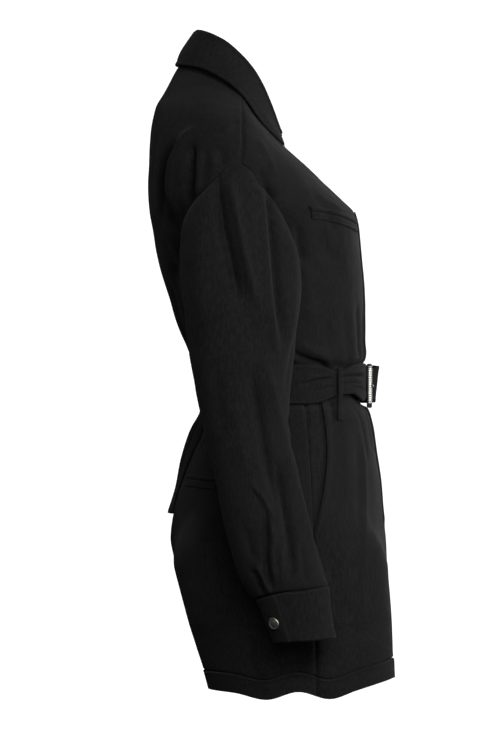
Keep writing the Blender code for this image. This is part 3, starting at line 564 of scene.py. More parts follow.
CHEST_FOLDS = [
    Fold("right", [(-26, -48), (-36, -63), (-44, -81), (-50, -101)], 2.2, 4.6),
    Fold("right", [(-29, -86), (-37, -108), (-46, -131)], -4.5, 6.0),
    Fold("right", [(-60, -56), (-75, -76), (-91, -101)], 1.5, 7),
    Fold("right", [(-77, -156), (-80, -181), (-85, -208)], -3.9, 6),
    Fold("right", [(-86, -198), (-91, -238), (-95, -283)], 2.4, 8),
    Fold("right", [(-101, -121), (-118, -129), (-138, -141)], 1.5, 4),
    Fold("right", [(-107, -136), (-113, -166), (-118, -203)], -1.4, 9),
    Fold("right", [(-127, -161), (-136, -190), (-141, -228)], 1.5, 7),
    Fold("front", [(-168, -118), (-140, -150), (-112, -178)], -3.3, 9),
    Fold("front", [(-160, -160), (-132, -190), (-104, -214)], -2.7, 9),
    Fold("front", [(-60, -40), (-84, -74), (-112, -96)], -2.1, 9),
    Fold("back", [(-150, -70), (-128, -110), (-112, -160)], -3.9, 10),
    Fold("back", [(-176, -120), (-150, -168), (-120, -206)], -4.5, 10),
    Fold("back", [(-86, -30), (-80, -74), (-70, -120)], -2.7, 12),
]
BODICE_FOLDS = RIGHT_SHOULDER_FOLDS + WAIST_FOLDS + CHEST_FOLDS
BODICE_FOLDS += other_side(BODICE_FOLDS, shift=3.0, deeper=1.05)
BLOUSE, BLOUSE_LEVEL = 2.6, -318.0  # mm that the bodice swells out just above the belt, and where


def bodice_relief(points, normals):
    swell = BLOUSE * bead(points[..., 2], BLOUSE_LEVEL, 11)
    return fold_relief(points, normals, BODICE_FOLDS) + unevenness(points) + swell


print("bodice folds:", len(BODICE_FOLDS))

# %% [markdown]
# ## Cloth shells
# A panel is a grid of points on the form, moved by its folds. Its shell is that grid, the same grid a
# cloth's thickness behind it, and a rim round the open edges. Neighbouring panels share the points of
# their seam and each runs half a hair past it, so that no light shows between them. At a seam the cloth
# dips into the stitching and rises over its turned allowance, so every edge of a panel that is sewn gets
# that small relief.

# %% Seams and edges
CLOTH, DOUBLE, LIFT = 1.6, 2.4, 0.5  # mm: one cloth, a doubled strip, and the air under a loop
SEAM_DIP, DIP_WIDE = 0.55, 1.4  # mm, the groove at a seam
ALLOWANCE, ALLOWANCE_RISE = 8.0, 0.25  # mm, the turned cloth beside it
TURNED_IN, STEP_WIDE = 6.0, 1.2  # mm of cloth turned in at a free edge, and the dip where it ends
EDGE_ROLL, ROLL_WIDE = 2.5, 2.0  # mm from a turned edge to its thickest line, and how wide that is


def new_object(name, points, faces, finish):
    """A smooth-shaded object from points in mm and faces."""
    mesh = bpy.data.meshes.new(name)
    mesh.from_pydata((np.asarray(points) * MM).tolist(), [], [list(map(int, face)) for face in faces])
    mesh.materials.append(finish)
    mesh.shade_smooth()
    made = bpy.data.objects.new(name, mesh)
    bpy.context.scene.collection.objects.link(made)
    return made


def edge_distance(grid, edge):
    """How far each point of a grid is from one of its edges, along the cloth."""
    axis, start = {"top": (0, True), "bottom": (0, False), "first": (1, True), "last": (1, False)}[edge]
    steps = np.linalg.norm(np.diff(grid, axis=axis), axis=-1)
    zero = np.zeros_like(np.take(steps, [0], axis=axis))
    if start:
        return np.concatenate([zero, np.cumsum(steps, axis=axis)], axis=axis)
    back = np.flip(np.cumsum(np.flip(steps, axis=axis), axis=axis), axis=axis)
    return np.concatenate([back, zero], axis=axis)


def nearest(grid, *edges):
    """How far each point of a grid is from the nearest of some of its edges."""
    return np.minimum.reduce([edge_distance(grid, edge) for edge in edges])


def seam_relief(grid, edges):
    """The groove and the rise beside it along the edges that are sewn."""
    total = np.zeros(grid.shape[:2])
    for edge in edges:
        far = edge_distance(grid, edge)
        total -= SEAM_DIP * bead(far, 0, DIP_WIDE)
        total += ALLOWANCE_RISE * ease((ALLOWANCE - far) / 2.0) * ease(far / 3.0)
    return total


def turned_edge(distance, rise):
    """An edge whose cloth is turned in is thickest a little inside its fold."""
    return rise * bead(distance, EDGE_ROLL, ROLL_WIDE)


print("cloth:", CLOTH, "mm, doubled:", DOUBLE, "mm")

# %% The cloth's own map
def lay_cloth_map(mesh, shape, size, thickness, wrap):
    """The cloth's own map in metres, from the panel's upper first corner. It runs on over the rim."""
    rows, columns = shape
    at = np.empty(len(mesh.loops), dtype=np.int64)
    mesh.loops.foreach_get("vertex_index", at)
    inside, at = at >= rows * columns, at % (rows * columns)
    row, column = at // columns, (at % columns).reshape(-1, 4)
    if wrap:
        closing = np.ptp(column, axis=1, keepdims=True) == columns - 1
        column = np.where(closing & (column == 0), columns, column)
    column = column.ravel()
    panel = 8 * (rows - 1) * (columns - (not wrap))
    past = thickness * (inside & (np.arange(len(at)) >= panel))
    down = row / (rows - 1) * size[1] + past * ((row == rows - 1) * 1.0 - (row == 0))
    across = column / (columns - (not wrap)) * size[0]
    if not wrap:
        across += past * ((column == columns - 1) * 1.0 - (column == 0))
    layer = mesh.uv_layers.new(name="cloth")
    layer.data.foreach_set("uv", (np.stack([across, down], axis=-1) * MM).ravel())


def drawn_in(layer, wrap, own_side):
    """A layer of the shell with its open edges run half a hair past their seams."""
    layer = layer.copy()

    def draw(edge, inside):
        along = unit(np.gradient(edge, axis=0))
        inward = inside - edge
        inward -= (inward * along).sum(-1, keepdims=True) * along
        return edge - unit(inward) * PASSING / 2

    layer[0], layer[-1] = draw(layer[0], layer[1]), draw(layer[-1], layer[-2])
    if not wrap:
        layer[:, 0], layer[:, -1] = draw(layer[:, 0], layer[:, 1]), draw(layer[:, -1], layer[:, -2])
    if own_side:
        hand = np.sign(layer[..., 0].mean())
        layer[..., 0] = hand * np.maximum(hand * layer[..., 0], -PASSING / 2)
    return layer


print("two shells pass at a seam by", PASSING, "mm")

# %% Shells
SHELLS = {}
Shell = namedtuple("Shell", "object grid normals")
TAKEN_UP = 1.01  # how much longer the flat cloth is than the shell, for the ease its folds take up


def shell(name, outer, normals, thickness, wrap=False, own_side=False, cut=None, plies=1):
    """A closed shell of cloth that stands for the solid of its name. The area of its cut is measured
    on the smooth grid given as cut, before folds, or else on the shell itself. A strip folded on itself
    is cut as many times as wide as it has plies."""
    layers = [drawn_in(outer, wrap, own_side), drawn_in(outer - normals * thickness, wrap, own_side)]
    rows, columns = outer.shape[:2]
    points = np.concatenate([layer.reshape(-1, 3) for layer in layers])
    corner = np.arange(rows * columns).reshape(rows, columns)
    if wrap:
        corner = np.concatenate([corner, corner[:, :1]], axis=1)
    a, b, c, d = corner[:-1, :-1], corner[:-1, 1:], corner[1:, 1:], corner[1:, :-1]
    front = np.stack([a, b, c, d], axis=-1).reshape(-1, 4)
    below = rows * columns
    rims = [corner[0], corner[-1, ::-1]]
    if not wrap:
        rims += [corner[::-1, 0], corner[:, -1]]
    edge = [np.stack([line[1:], line[:-1], line[:-1] + below, line[1:] + below], axis=-1) for line in rims]
    faces = np.concatenate([front, front[:, ::-1] + below, *edge])
    i, j, k = faces[:, :3].T
    facing = np.cross(points[j] - points[i], points[k] - points[j])[: len(front)]
    outward = normals[:-1, : b.shape[1]].reshape(-1, 3)
    if (facing * outward).sum() < 0:
        faces = faces[:, ::-1]
    made = new_object(name, points, faces, CREPE)

    wide = np.linalg.norm(np.diff(outer, axis=1), axis=-1).sum(1).max()
    tall = np.linalg.norm(np.diff(outer, axis=0), axis=-1).sum(0).max()
    if wrap:
        wide += np.linalg.norm(outer[:, 0] - outer[:, -1], axis=-1).max()
    lay_cloth_map(made.data, outer.shape[:2], (wide, tall), thickness, wrap)

    area = patch_area(outer if cut is None else cut, wrap)
    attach(made, "root")
    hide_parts(name)
    flat = np.array([max(wide, area / tall), tall]) * TAKEN_UP * MM
    flat[flat.argmin()] *= plies
    SHELLS[name] = Shell(made, outer, normals)
    print(f"{name}: {wide:.0f} x {tall:.0f} mm, {len(faces)} faces")
    return made


def patch_area(grid, wrap):
    """The area of a grid, from the diagonals of its patches."""
    if wrap:
        grid = np.concatenate([grid, grid[:, :1]], axis=1)
    one, other = grid[1:, 1:] - grid[:-1, :-1], grid[1:, :-1] - grid[:-1, 1:]
    return float(np.linalg.norm(np.cross(one, other), axis=-1).sum() / 2)


def mirrored(grid):
    return grid * np.array([-1.0, 1.0, 1.0])


def between(start, end, count):
    """Rows of places from one line of places to another, which both run down the panel."""
    return blend(start[:, None], end[:, None], np.linspace(0, 1, count + 1)[None, :, None])


def form_grid(point_of, normal_of, places):
    """Points and outward directions of a form at a grid of places."""
    return point_of(places[..., 0], places[..., 1]), normal_of(places[..., 0], places[..., 1])


def grid_normals(points, wrap):
    """The direction that each point of a grid faces."""
    down = np.gradient(points, axis=0)
    if wrap:
        across = np.roll(points, -1, axis=1) - np.roll(points, 1, axis=1)
    else:
        across = np.gradient(points, axis=1)
    return unit(np.cross(down, across))

# %% [markdown]
# ## Bodice
# Two fronts meet in the middle and open into a V above. The back is one piece. The shoulder seam lies
# forward of the shoulder's top, and the armholes are dropped low on the arm. The front's places run
# from the waist up: along the middle and the neck edge on one side, along the side seam and the
# armhole on the other. The rows are spread between those two.

# %% Seams of the bodice
FRONT_HEIGHTS = [WAIST, -334, -322, -290, -240, -190, V_BOTTOM]
SIDE_HEIGHTS = [WAIST, -334, -322, -293, -262, -232, -201]
LOW_ROWS, ARMHOLE_ROWS, SHOULDER_ROWS = 70, 98, 80
ARMHOLE_FRONT = side_points(
    (-9, -84), (-20, -92), (-31, -107), (-42, -126), (-50, -145), (-52, -163), (-44, -181), (-24, -195),
    (2, -201),
)
ARMHOLE_BACK = side_points(
    (2, -201), (34, -198), (58, -186), (66, -168), (60, -147), (44, -128), (31, -112), (20, -98), (6, -87),
    (-9, -84),
)
SIDE_SEAM_TOP = side_points((-84, -357), (-70, -320), (-40, -270), (2, -201))


def side_y(line, height):
    """How far back a side line runs at a height."""
    return smooth([point.z for point in line], [point.y for point in line], height)


def row_heights(named, count):
    """Heights spread evenly between the named ones."""
    return np.interp(np.linspace(0, len(named) - 1, count + 1), np.arange(len(named)), named)


def armhole(half):
    """The places of one half of the armhole's seam."""
    path = spaced(catmull(half), ARMHOLE_ROWS)
    return bodice_place(path[:, 0], path[:, 1])


def neckline_angle(height):
    """The front neck edge runs nearly straight from the side of the neck down to the middle front."""
    ring = ring_at(BODICE, height)
    share = (height - V_BOTTOM) / (NECK - V_BOTTOM)
    return np.arcsin(np.minimum(NECK_HALF * share / ring.side, 1.0) ** (ring.square / 2))


def resampled(places, point_of, count):
    """Places along a seam at equal steps of cloth."""
    along = lengths(point_of(places[:, 0], places[:, 1]))
    at = np.linspace(0, along[-1], count + 1)
    return np.stack([np.interp(at, along, places[:, k]) for k in (0, 1)], axis=-1)


def shoulder():
    """The places of the shoulder's ridge, from the armhole up to the neck."""
    heights = np.linspace(ARMHOLE_FRONT[0].z, NECK, 120)
    ridge = np.stack([np.full(len(heights), math.pi / 2), heights], axis=-1)
    return resampled(ridge, bodice_point, SHOULDER_ROWS)


low_side = row_heights(SIDE_HEIGHTS, LOW_ROWS)
side_seam = bodice_place(side_y(SIDE_SEAM_TOP, low_side), low_side)
front_hole, back_hole = armhole(ARMHOLE_FRONT), armhole(ARMHOLE_BACK)
low_middle = row_heights(FRONT_HEIGHTS, LOW_ROWS)
neck_heights = NECK - (NECK - V_BOTTOM) * (1 - np.linspace(0, 1, 300)) ** 1.5
neck_edge = np.stack([neckline_angle(neck_heights), neck_heights], axis=-1)
neck_edge = resampled(neck_edge, bodice_point, ARMHOLE_ROWS)
seam_round = sum(lengths(bodice_point(*half.T))[-1] for half in (front_hole, back_hole))
print("armhole seam", round(seam_round), "mm")

# %% The sleeve's rings
Cut = namedtuple("Cut", "outer_x outer_z inner_x inner_z front_y back_y front_z back_z")
SLEEVE = [
    Cut(-241, -116, -170, -213, -62, 66, -164, -168),
    Cut(-254, -165, -166, -228, -78, 68, -198, -200),
    Cut(-264, -240, -164, -252, -82, 66, -246, -246),
    Cut(-265, -320, -169, -322, -73, 56, -320, -320),
    Cut(-262, -400, -176, -400, -67, 41, -400, -400),
    Cut(-263, -470, -185, -470, -79, 26, -470, -470),
    Cut(-267, -530, -193, -532, -92, 12, -528, -534),
    Cut(-268, -580, -197, -584, -107, -5, -576, -592),
    Cut(-264, -609, -199, -613, -115, -22, -603, -620),
]
CUFF_TOP = Cut(-263, -609.5, -200, -613.5, -116, -26, -603.5, -621)
CUFF_END = Cut(-260, -671, -201, -673, -125, -48, -667, -675)
SLEEVE_ROWS = 160


def cut_points(cut, count):
    """Points round one ring of the sleeve, from its outer point forward and round."""
    turn = np.arange(count) * 2 * math.pi / count
    c, s = power_of(np.cos(turn), 0.94), power_of(np.sin(turn), 0.94)
    x = (cut.outer_x + cut.inner_x) / 2 + c * (cut.outer_x - cut.inner_x) / 2
    y = (cut.front_y + cut.back_y) / 2 + s * (cut.front_y - cut.back_y) / 2
    middle = (cut.outer_z + cut.inner_z) / 2
    ends = np.where(s > 0, cut.front_z, cut.back_z) - middle
    return np.stack([x, y, middle + c * (cut.outer_z - cut.inner_z) / 2 + ends * np.abs(s) ** 1.5], axis=-1)


hole_places = np.concatenate([front_hole, back_hole[1:-1]])
hole = bodice_point(hole_places[:, 0], hole_places[:, 1])
rings = np.array([hole] + [cut_points(cut, len(hole)) for cut in SLEEVE])
sleeve_form = np.stack([spaced(catmull(rings[:, k]), SLEEVE_ROWS) for k in range(len(hole))], axis=1)
sleeve_form[0] -= unit(sleeve_form[1] - sleeve_form[0]) * PASSING
sleeve_out = grid_normals(sleeve_form, wrap=True)
mitre = unit(bodice_normal(hole_places[:, 0], hole_places[:, 1]) + sleeve_out[0])
sleeve_out[0] = mitre
print("sleeve", sleeve_form.shape)

# %% Folds of the sleeve
SLEEVE_HEAD_FOLDS = [
    Fold("right", [(21, -86), (22, -110), (18, -135), (15, -160), (9, -184), (4, -208), (-1, -233),
                   (-6, -256)], -14.5, 5.2),
    Fold("right", [(6, -92), (4, -114), (0, -135), (-5, -158), (-9, -180), (-14, -205), (-20, -232),
                   (-27, -264)], 6.9, 5.0),
    Fold("right", [(-16, -112), (-20, -153), (-26, -205), (-32, -254), (-38, -307)], 4.5, 14),
    Fold("right", [(-31, -107), (-36, -143), (-39, -188), (-42, -233), (-46, -270), (-51, -307),
                   (-54, -340)], 3.9, 5.0),
    Fold("right", [(-37, -102), (-43, -131), (-46, -168), (-49, -205), (-52, -242), (-56, -279),
                   (-60, -315)], -9.8, 5.2),
    Fold("right", [(-59, -161), (-69, -190), (-72, -229), (-70, -271), (-65, -313)], 3.9, 9.0),
    Fold("right", [(-40, -124), (-46, -137), (-54, -153)], -3, 2.4),
    Fold("right", [(39, -137), (43, -178), (42, -227), (35, -288)], 2.1, 15),
    Fold("right", [(45, -205), (39, -199), (30, -202)], -1.2, 2.2),
]
SLEEVE_LOW_FOLDS = [
    Fold("right", [(-20, -335), (-25, -364), (-30, -389), (-34, -414), (-38, -438), (-43, -463), (-48, -487),
                   (-54, -512)], -8.6, 6.6),
    Fold("right", [(-52, -445), (-57, -475), (-62, -507), (-67, -540), (-70, -568), (-68, -598)], -9.4, 5.2),
    Fold("right", [(-33, -301), (-41, -337), (-48, -368), (-55, -399), (-63, -432), (-70, -463), (-79, -493),
                   (-87, -523), (-96, -552), (-105, -579)], 3.8, 6.5),
    Fold("right", [(-17, -472), (-26, -484), (-35, -496), (-43, -512), (-47, -524)], 2.9, 3.0),
    Fold("right", [(-19, -483), (-28, -495), (-36, -507), (-41, -522)], -2.3, 3.2),
    Fold("right", [(-36, -512), (-39, -536), (-38, -562), (-41, -587), (-46, -610)], -9.4, 3.0),
    Fold("right", [(-43, -522), (-47, -546), (-46, -571), (-49, -600)], 3.8, 4.0),
    Fold("right", [(-20, -578), (-29, -581), (-36, -593), (-42, -612)], 4.3, 3.0),
    Fold("right", [(-16, -585), (-25, -588), (-30, -600), (-36, -615)], -5.2, 2.6),
    Fold("right", [(-80, -546), (-85, -571), (-86, -600)], -2.3, 5.0),
    Fold("right", [(-57, -552), (-58, -577), (-57, -603)], 2.3, 3.0),
    Fold("right", [(26, -325), (21, -374), (14, -423)], -2, 8),
    Fold("right", [(-1, -374), (-8, -423), (-15, -470)], 2, 9),
    Fold("right", [(-10, -522), (-17, -552), (-26, -578)], -2.3, 6),
]
SLEEVE_HIDDEN_FOLDS = [
    Fold("front", [(-190, -230), (-214, -270), (-232, -320), (-240, -380)], -3.0, 8),
    Fold("front", [(-186, -360), (-206, -392), (-232, -408)], -2.6, 6),
    Fold("front", [(-192, -396), (-214, -424), (-240, -436)], -2.4, 6),
    Fold("front", [(-214, -540), (-218, -572), (-216, -602)], -2.4, 4),
    Fold("front", [(-238, -536), (-240, -570), (-238, -600)], -2.4, 4),
    Fold("back", [(-186, -210), (-206, -244), (-224, -290)], -3.2, 8),
    Fold("back", [(-236, -200), (-240, -260), (-238, -330)], -2.4, 9),
    Fold("back", [(-190, -400), (-214, -440), (-222, -500)], -2.4, 8),
    Fold("back", [(-222, -540), (-226, -570), (-224, -606)], -2.6, 4),
    Fold("left", [(30, -240), (10, -290), (-6, -350)], -2.6, 9),
    Fold("left", [(-30, -380), (-40, -440), (-52, -500)], -2.4, 8),
    Fold("left", [(-60, -540), (-66, -570), (-68, -600)], -2.2, 4),
]
SLEEVE_FOLDS = SLEEVE_HEAD_FOLDS + SLEEVE_LOW_FOLDS + SLEEVE_HIDDEN_FOLDS
LEFT_SLEEVE_FOLDS = other_side(SLEEVE_FOLDS, shift=4.0, deeper=0.9)
HOLE_REACH = 16.0  # mm round an armhole where sleeve and bodice share each other's folds
FAR_OFF = 1e3  # mm, for rows that end on no armhole
ELSEWHERE = 300  # mm from the right sleeve's unevenness to the left one's


def make_sleeve(side, form, out, folds, strength):
    """A sleeve's shell. Its left one reads the unevenness elsewhere, so the two differ."""
    near_hole = ease(1 - edge_distance(form, "top") / HOLE_REACH)
    move = (1 - near_hole) * unevenness(form + ELSEWHERE * (side == "left"), strength)
    move += fold_relief(form, out, folds) + near_hole * bodice_relief(form, out)
    move *= ease(edge_distance(form, "bottom") / 5)
    move += seam_relief(form, ["top", "bottom"])
    shell("sleeve_" + side, form + out * move[..., None], out, CLOTH, wrap=True, cut=form)


make_sleeve("right", sleeve_form, sleeve_out, SLEEVE_FOLDS, 1.0)
make_sleeve("left", mirrored(sleeve_form), mirrored(sleeve_out), LEFT_SLEEVE_FOLDS, 1.2)

# %% Fronts and back
FRONT_COLUMNS, BACK_COLUMNS = 80, 120
inner = np.concatenate([np.stack([0 * low_middle, low_middle], axis=-1), neck_edge[1:]])
outer = np.concatenate([side_seam, front_hole[::-1][1:]])
front_places = between(inner, outer, FRONT_COLUMNS)
ridge = shoulder()[::-1]
front_places[-1] = ridge
front_form, front_out = form_grid(bodice_point, bodice_normal, front_places)
front_out[: LOW_ROWS + 1, 0, 0] = 0
for row in range(ARMHOLE_ROWS + 1):
    front_out[LOW_ROWS + row, -1] = mitre[ARMHOLE_ROWS - row]
front_out = unit(front_out)


def with_sleeve_folds(form, out, hole_distance):
    """The bodice's relief, and beside an armhole the sleeve's too."""
    near_hole = ease(1 - hole_distance / HOLE_REACH)
    return bodice_relief(form, out) + near_hole * fold_relief(form, out, SLEEVE_FOLDS + LEFT_SLEEVE_FOLDS)


def make_front(side, form, out):
    """A front's shell. Its edge up the middle and the neck is free, under the placket and the collar."""
    hole_distance = edge_distance(form, "last")
    hole_distance[:LOW_ROWS] = FAR_OFF
    move = with_sleeve_folds(form, out, hole_distance) * ease(edge_distance(form, "bottom") / 3 + 0.2)
    move += seam_relief(form, ["last", "bottom"])
    shell("front_" + side, form + out * move[..., None], out, CLOTH, cut=form)


make_front("right", front_form, front_out)
make_front("left", mirrored(front_form), mirrored(front_out))

edge = np.concatenate([side_seam, back_hole[1:], shoulder()[1:]])
even_from = LOW_ROWS * 5 // 6  # the spine's rows keep the side seam's heights up to here
spine = np.concatenate([low_side[:even_from], np.linspace(SIDE_HEIGHTS[5], NECK, len(edge) - even_from)])
half = between(edge, np.stack([np.full(len(edge), math.pi), spine], axis=-1), BACK_COLUMNS // 2)
other = np.stack([2 * math.pi - half[:, -2::-1, 0], half[:, -2::-1, 1]], axis=-1)
back_form, back_out = form_grid(bodice_point, bodice_normal, np.concatenate([half, other], axis=1))
for row in range(ARMHOLE_ROWS + 1):
    normal = mitre[(ARMHOLE_ROWS + row) % len(mitre)]
    back_out[LOW_ROWS + row, 0], back_out[LOW_ROWS + row, -1] = normal, mirrored(normal)
hole_distance = nearest(back_form, "first", "last")
hole_distance[:LOW_ROWS] = hole_distance[LOW_ROWS + ARMHOLE_ROWS + 1 :] = FAR_OFF
move = with_sleeve_folds(back_form, back_out, hole_distance)
move += seam_relief(back_form, ["first", "last"])
shell("back", back_form + back_out * move[..., None], back_out, CLOTH, cut=back_form)

# %% [markdown]
# ## Shorts
# Each leg has a front and a back panel. The front is cut away at the hip for a slash pocket, whose
# facing fills the cut from behind. The front edge of the pocket is turned and stands a little proud, so
# it draws a dark line. A pressed crease runs down the front of each leg. From the crotch the cloth pulls
# in short soft lines, and over the thighs it hangs free.

# %% Seams and folds of the shorts
SIDE_SEAM_SHORTS = side_points((-101, -735), (-99, -640), (-97, -537), (-91, -420), (-84, -357))
POCKET_EDGE = side_points((-99, -537), (-111, -475), (-114, -440), (-112, -410), (-104, -357))
SHORTS_FOLDS = [
    Fold("right", [(-87, -377), (-90, -392), (-91, -410)], -3.6, 2.4),
    Fold("right", [(-119, -375), (-122, -387), (-124, -400)], -2.1, 2.4),
    Fold("right", [(-134, -387), (-137, -424), (-138, -474), (-137, -524)], 1.8, 8),
    Fold("right", [(-159, -412), (-162, -462), (-162, -524), (-159, -599), (-158, -648)], 2.1, 3.6),
    Fold("right", [(-152, -412), (-154, -474), (-153, -549)], -1.8, 5),
    Fold("right", [(-20, -666), (-21, -688), (-21, -713)], -3.1, 3.4),
    Fold("right", [(-29, -673), (-30, -698), (-34, -718)], 1.6, 6),
    Fold("right", [(-146, -623), (-146, -668), (-148, -703)], -1.3, 7),
    Fold("right", [(48, -574), (47, -623), (38, -673)], 1.3, 9),
    Fold("right", [(62, -524), (58, -569), (52, -611)], -1.6, 8),
    Fold("right", [(-118, -559), (-123, -599), (-131, -648)], -1.6, 9),
    Fold("right", [(-81, -673), (-78, -700), (-77, -730)], -2.1, 7),
    Fold("right", [(-41, -698), (-40, -718), (-40, -740)], 2.1, 7),
    Fold("right", [(-113, -703), (-114, -723), (-114, -740)], 2.1, 7),
    Fold("front", [(-6, -616), (-36, -600), (-70, -580)], -3.4, 7),
    Fold("front", [(-8, -634), (-40, -630), (-78, -618)], -2.9, 7),
    Fold("front", [(-20, -650), (-44, -676), (-58, -716)], -2.9, 9),
    Fold("front", [(-40, -384), (-44, -410), (-50, -446)], -2.3, 6),
    Fold("front", [(-76, -384), (-80, -414), (-88, -456)], -2.3, 6),
    Fold("back", [(-8, -620), (-40, -612), (-86, -590)], -3.9, 9),
    Fold("back", [(-8, -644), (-46, -648), (-96, -636)], -3.4, 9),
    Fold("back", [(-30, -500), (-40, -560), (-44, -620)], -2.3, 12),
    Fold("back", [(-60, -650), (-70, -690), (-74, -732)], -2.9, 9),
    Fold("back", [(-120, -600), (-128, -660), (-132, -730)], 2.6, 10),
    Fold("back", [(-50, -386), (-54, -410), (-60, -440)], -2.3, 7),
    Fold("back", [(-90, -388), (-96, -412), (-104, -446)], -2.3, 7),
]
LEFT_SHORTS_FOLDS = other_side(SHORTS_FOLDS, shift=3.0, deeper=1.1)
print("folds of the shorts:", len(SHORTS_FOLDS) + len(LEFT_SHORTS_FOLDS))

# %% Rows of the shorts
SHORTS_COLUMNS = 72
HEM_DEEP, HEM_GROOVE = 24.0, 2.4  # mm: the turned hem, and the groove just above it
POCKET_LIP, FACING_DIP = 2.2, 1.2  # mm: the pocket's edge stands out, and its facing lies behind it
HIP_ARC = (math.radians(40), math.radians(172))  # the angles between which a side seam is looked for


def shorts_place(line, heights):
    """The angles at which a side line of the shorts runs."""
    return place_by_y(shorts_point, side_y(line, heights), heights, *HIP_ARC)


fork_rows = FORK + (CROTCH - FORK) * np.sin(np.radians(np.linspace(0, 90, 26)))
shorts_rows = np.concatenate([
    row_heights([WAIST, BELT_BOTTOM + 1, -388, -403, -425, -460, -500, -537], 72),
    np.linspace(-537, FORK, 18)[1:-1],
    fork_rows,
    np.linspace(CROTCH, HEM + HEM_DEEP + 5, 30)[1:],
    np.linspace(HEM + HEM_DEEP + 5, HEM + HEM_DEEP - 5, 18)[1:],
    np.linspace(HEM + HEM_DEEP - 5, HEM, 12)[1:],
])
pocket_end = int(np.searchsorted(-shorts_rows, -POCKET_EDGE[0].z)) + 1
seam_line = shorts_place(SIDE_SEAM_SHORTS, shorts_rows)
pocket_line = seam_line.copy()
pocket_line[:pocket_end] = shorts_place(POCKET_EDGE, shorts_rows[:pocket_end])
print("rows of the shorts:", len(shorts_rows), "of them beside the pocket:", pocket_end)

# %% Panels of the shorts
def on_rows(angle):
    """Places at one angle, or one angle for each row, down all the rows of the shorts."""
    return np.stack([np.broadcast_to(angle, shorts_rows.shape), shorts_rows], axis=-1)


def dressed_shorts(places, hand):
    """The smooth grid, its outward directions and its folds, on the right (1) or the left (-1)."""
    form, out = form_grid(shorts_point, shorts_normal, places)
    middle = (np.abs(form[..., 0]) < 1e-6) & (places[..., 1] > CROTCH)
    out[middle, 0] = 0
    out = unit(out)
    if hand < 0:
        form, out = mirrored(form), mirrored(out)
    folds = SHORTS_FOLDS if hand > 0 else LEFT_SHORTS_FOLDS
    move = fold_relief(form, out, folds) + unevenness(form)
    if places[-1, 0, 1] == HEM:
        rise = edge_distance(form, "bottom")
        move += ease((HEM_DEEP - rise) / 1.2 + 0.5) - HEM_GROOVE * bead(rise, HEM_DEEP + 0.6, 0.9)
    return form, out, move


def make_shorts(side, hand):
    """One side's front, cut away along the pocket, its back, and the facing that fills the cut."""
    front = between(on_rows(0.0), on_rows(pocket_line), SHORTS_COLUMNS)
    form, out, move = dressed_shorts(front, hand)
    at_seam = edge_distance(form, "last")
    move += seam_relief(form, ["first", "top"])
    at_pocket = np.zeros(form.shape[:2])
    at_pocket[:pocket_end] = ease((np.arange(pocket_end)[::-1] / 8))[:, None]
    move += at_pocket * POCKET_LIP * ease((12 - at_seam) / 8)
    move += (1 - at_pocket) * seam_relief(form, ["last"])
    shell("shorts_front_" + side, form + out * move[..., None], out, CLOTH, own_side=True, cut=form)

    back = between(on_rows(seam_line), on_rows(math.pi), SHORTS_COLUMNS + 8)
    form, out, move = dressed_shorts(back, hand)
    move += seam_relief(form, ["first", "last", "top"])
    shell("shorts_back_" + side, form + out * move[..., None], out, CLOTH, own_side=True, cut=form)

    facing = between(on_rows(pocket_line), on_rows(seam_line), 10)[:pocket_end]
    form, out, move = dressed_shorts(facing, hand)
    move -= FACING_DIP * ease((8 - edge_distance(form, "first")) / 6)
    move += seam_relief(form, ["last"])
    name = "pocket_facing_" + side
    shell(name, form + out * move[..., None], out, CLOTH, own_side=True, cut=form)


make_shorts("right", 1)
make_shorts("left", -1)

# %% [markdown]
# ## Collar
# The collar is one strip folded over. The stand rises from the neck edge to the roll line, and the leaf
# comes down outside it. The roll line and the free edge are two smooth lines from the middle back to
# the points in front. Across the strip, the cloth follows a smooth curve through the foot, the roll and
# the edge.

# %% The collar's lines
Station = namedtuple("Station", "roll_x roll_y roll_z edge_x edge_y edge_z")
COLLAR = [
    Station(0, 51, 91, 0, 76, 47),
    Station(-36, 45, 91, -46, 70, 46),
    Station(-60, 26, 83, -74, 42, 41),
    Station(-69, 5, 69, -91, 12, 25),
    Station(-67, -22, 42, -102, -12, 4),
    Station(-61, -42, 7, -102, -36, -30),
    Station(-56, -60, -40, -96, -62, -55),
]
COLLAR_LIFT, ROLL_RADIUS, LEAF_CROWN = 0.2, 3.0, 3.0
COLLAR_STEPS, STAND_ROWS, LEAF_ROWS = 64, 20, 24
ROLL_ROW = 36  # of the rows across the strip, the one on the roll line

neck_back = np.stack([math.pi - np.linspace(0, math.pi / 2, 60), np.full(60, NECK)], axis=-1)
front_part = NECK - 62 * np.linspace(0, 1, 80)[1:] ** 1.5
neck_front = np.stack([neckline_angle(front_part), front_part], axis=-1)
neck_seam = resampled(np.concatenate([neck_back, neck_front]), bodice_point, COLLAR_STEPS)
foot = bodice_point(*neck_seam.T) + np.array([0, 0, COLLAR_LIFT])
foot[0, 0] = 0
roll = spaced(catmull([row[:3] for row in COLLAR]), COLLAR_STEPS)
free_edge = spaced(catmull([row[3:] for row in COLLAR]), COLLAR_STEPS)
along = unit(np.gradient(roll, axis=0))
along[0] = (-1, 0, 0)
across = (free_edge - roll) * [1, 1, 0]
across = unit(across - (across * along).sum(-1, keepdims=True) * along)
drop = np.cross(along, across)
drop *= np.sign((drop * (foot - roll)).sum(-1, keepdims=True))
turn_in, turn_out = roll + (drop - across) * ROLL_RADIUS, roll + (drop + across) * ROLL_RADIUS
leaf_middle = turn_out * 0.45 + free_edge * 0.55 + across * LEAF_CROWN
strip = [foot, foot * 0.5 + turn_in * 0.5, turn_in, roll, turn_out, leaf_middle, free_edge]
strip = np.stack([catmull([line[k] for line in strip]) for k in range(COLLAR_STEPS + 1)], axis=1)
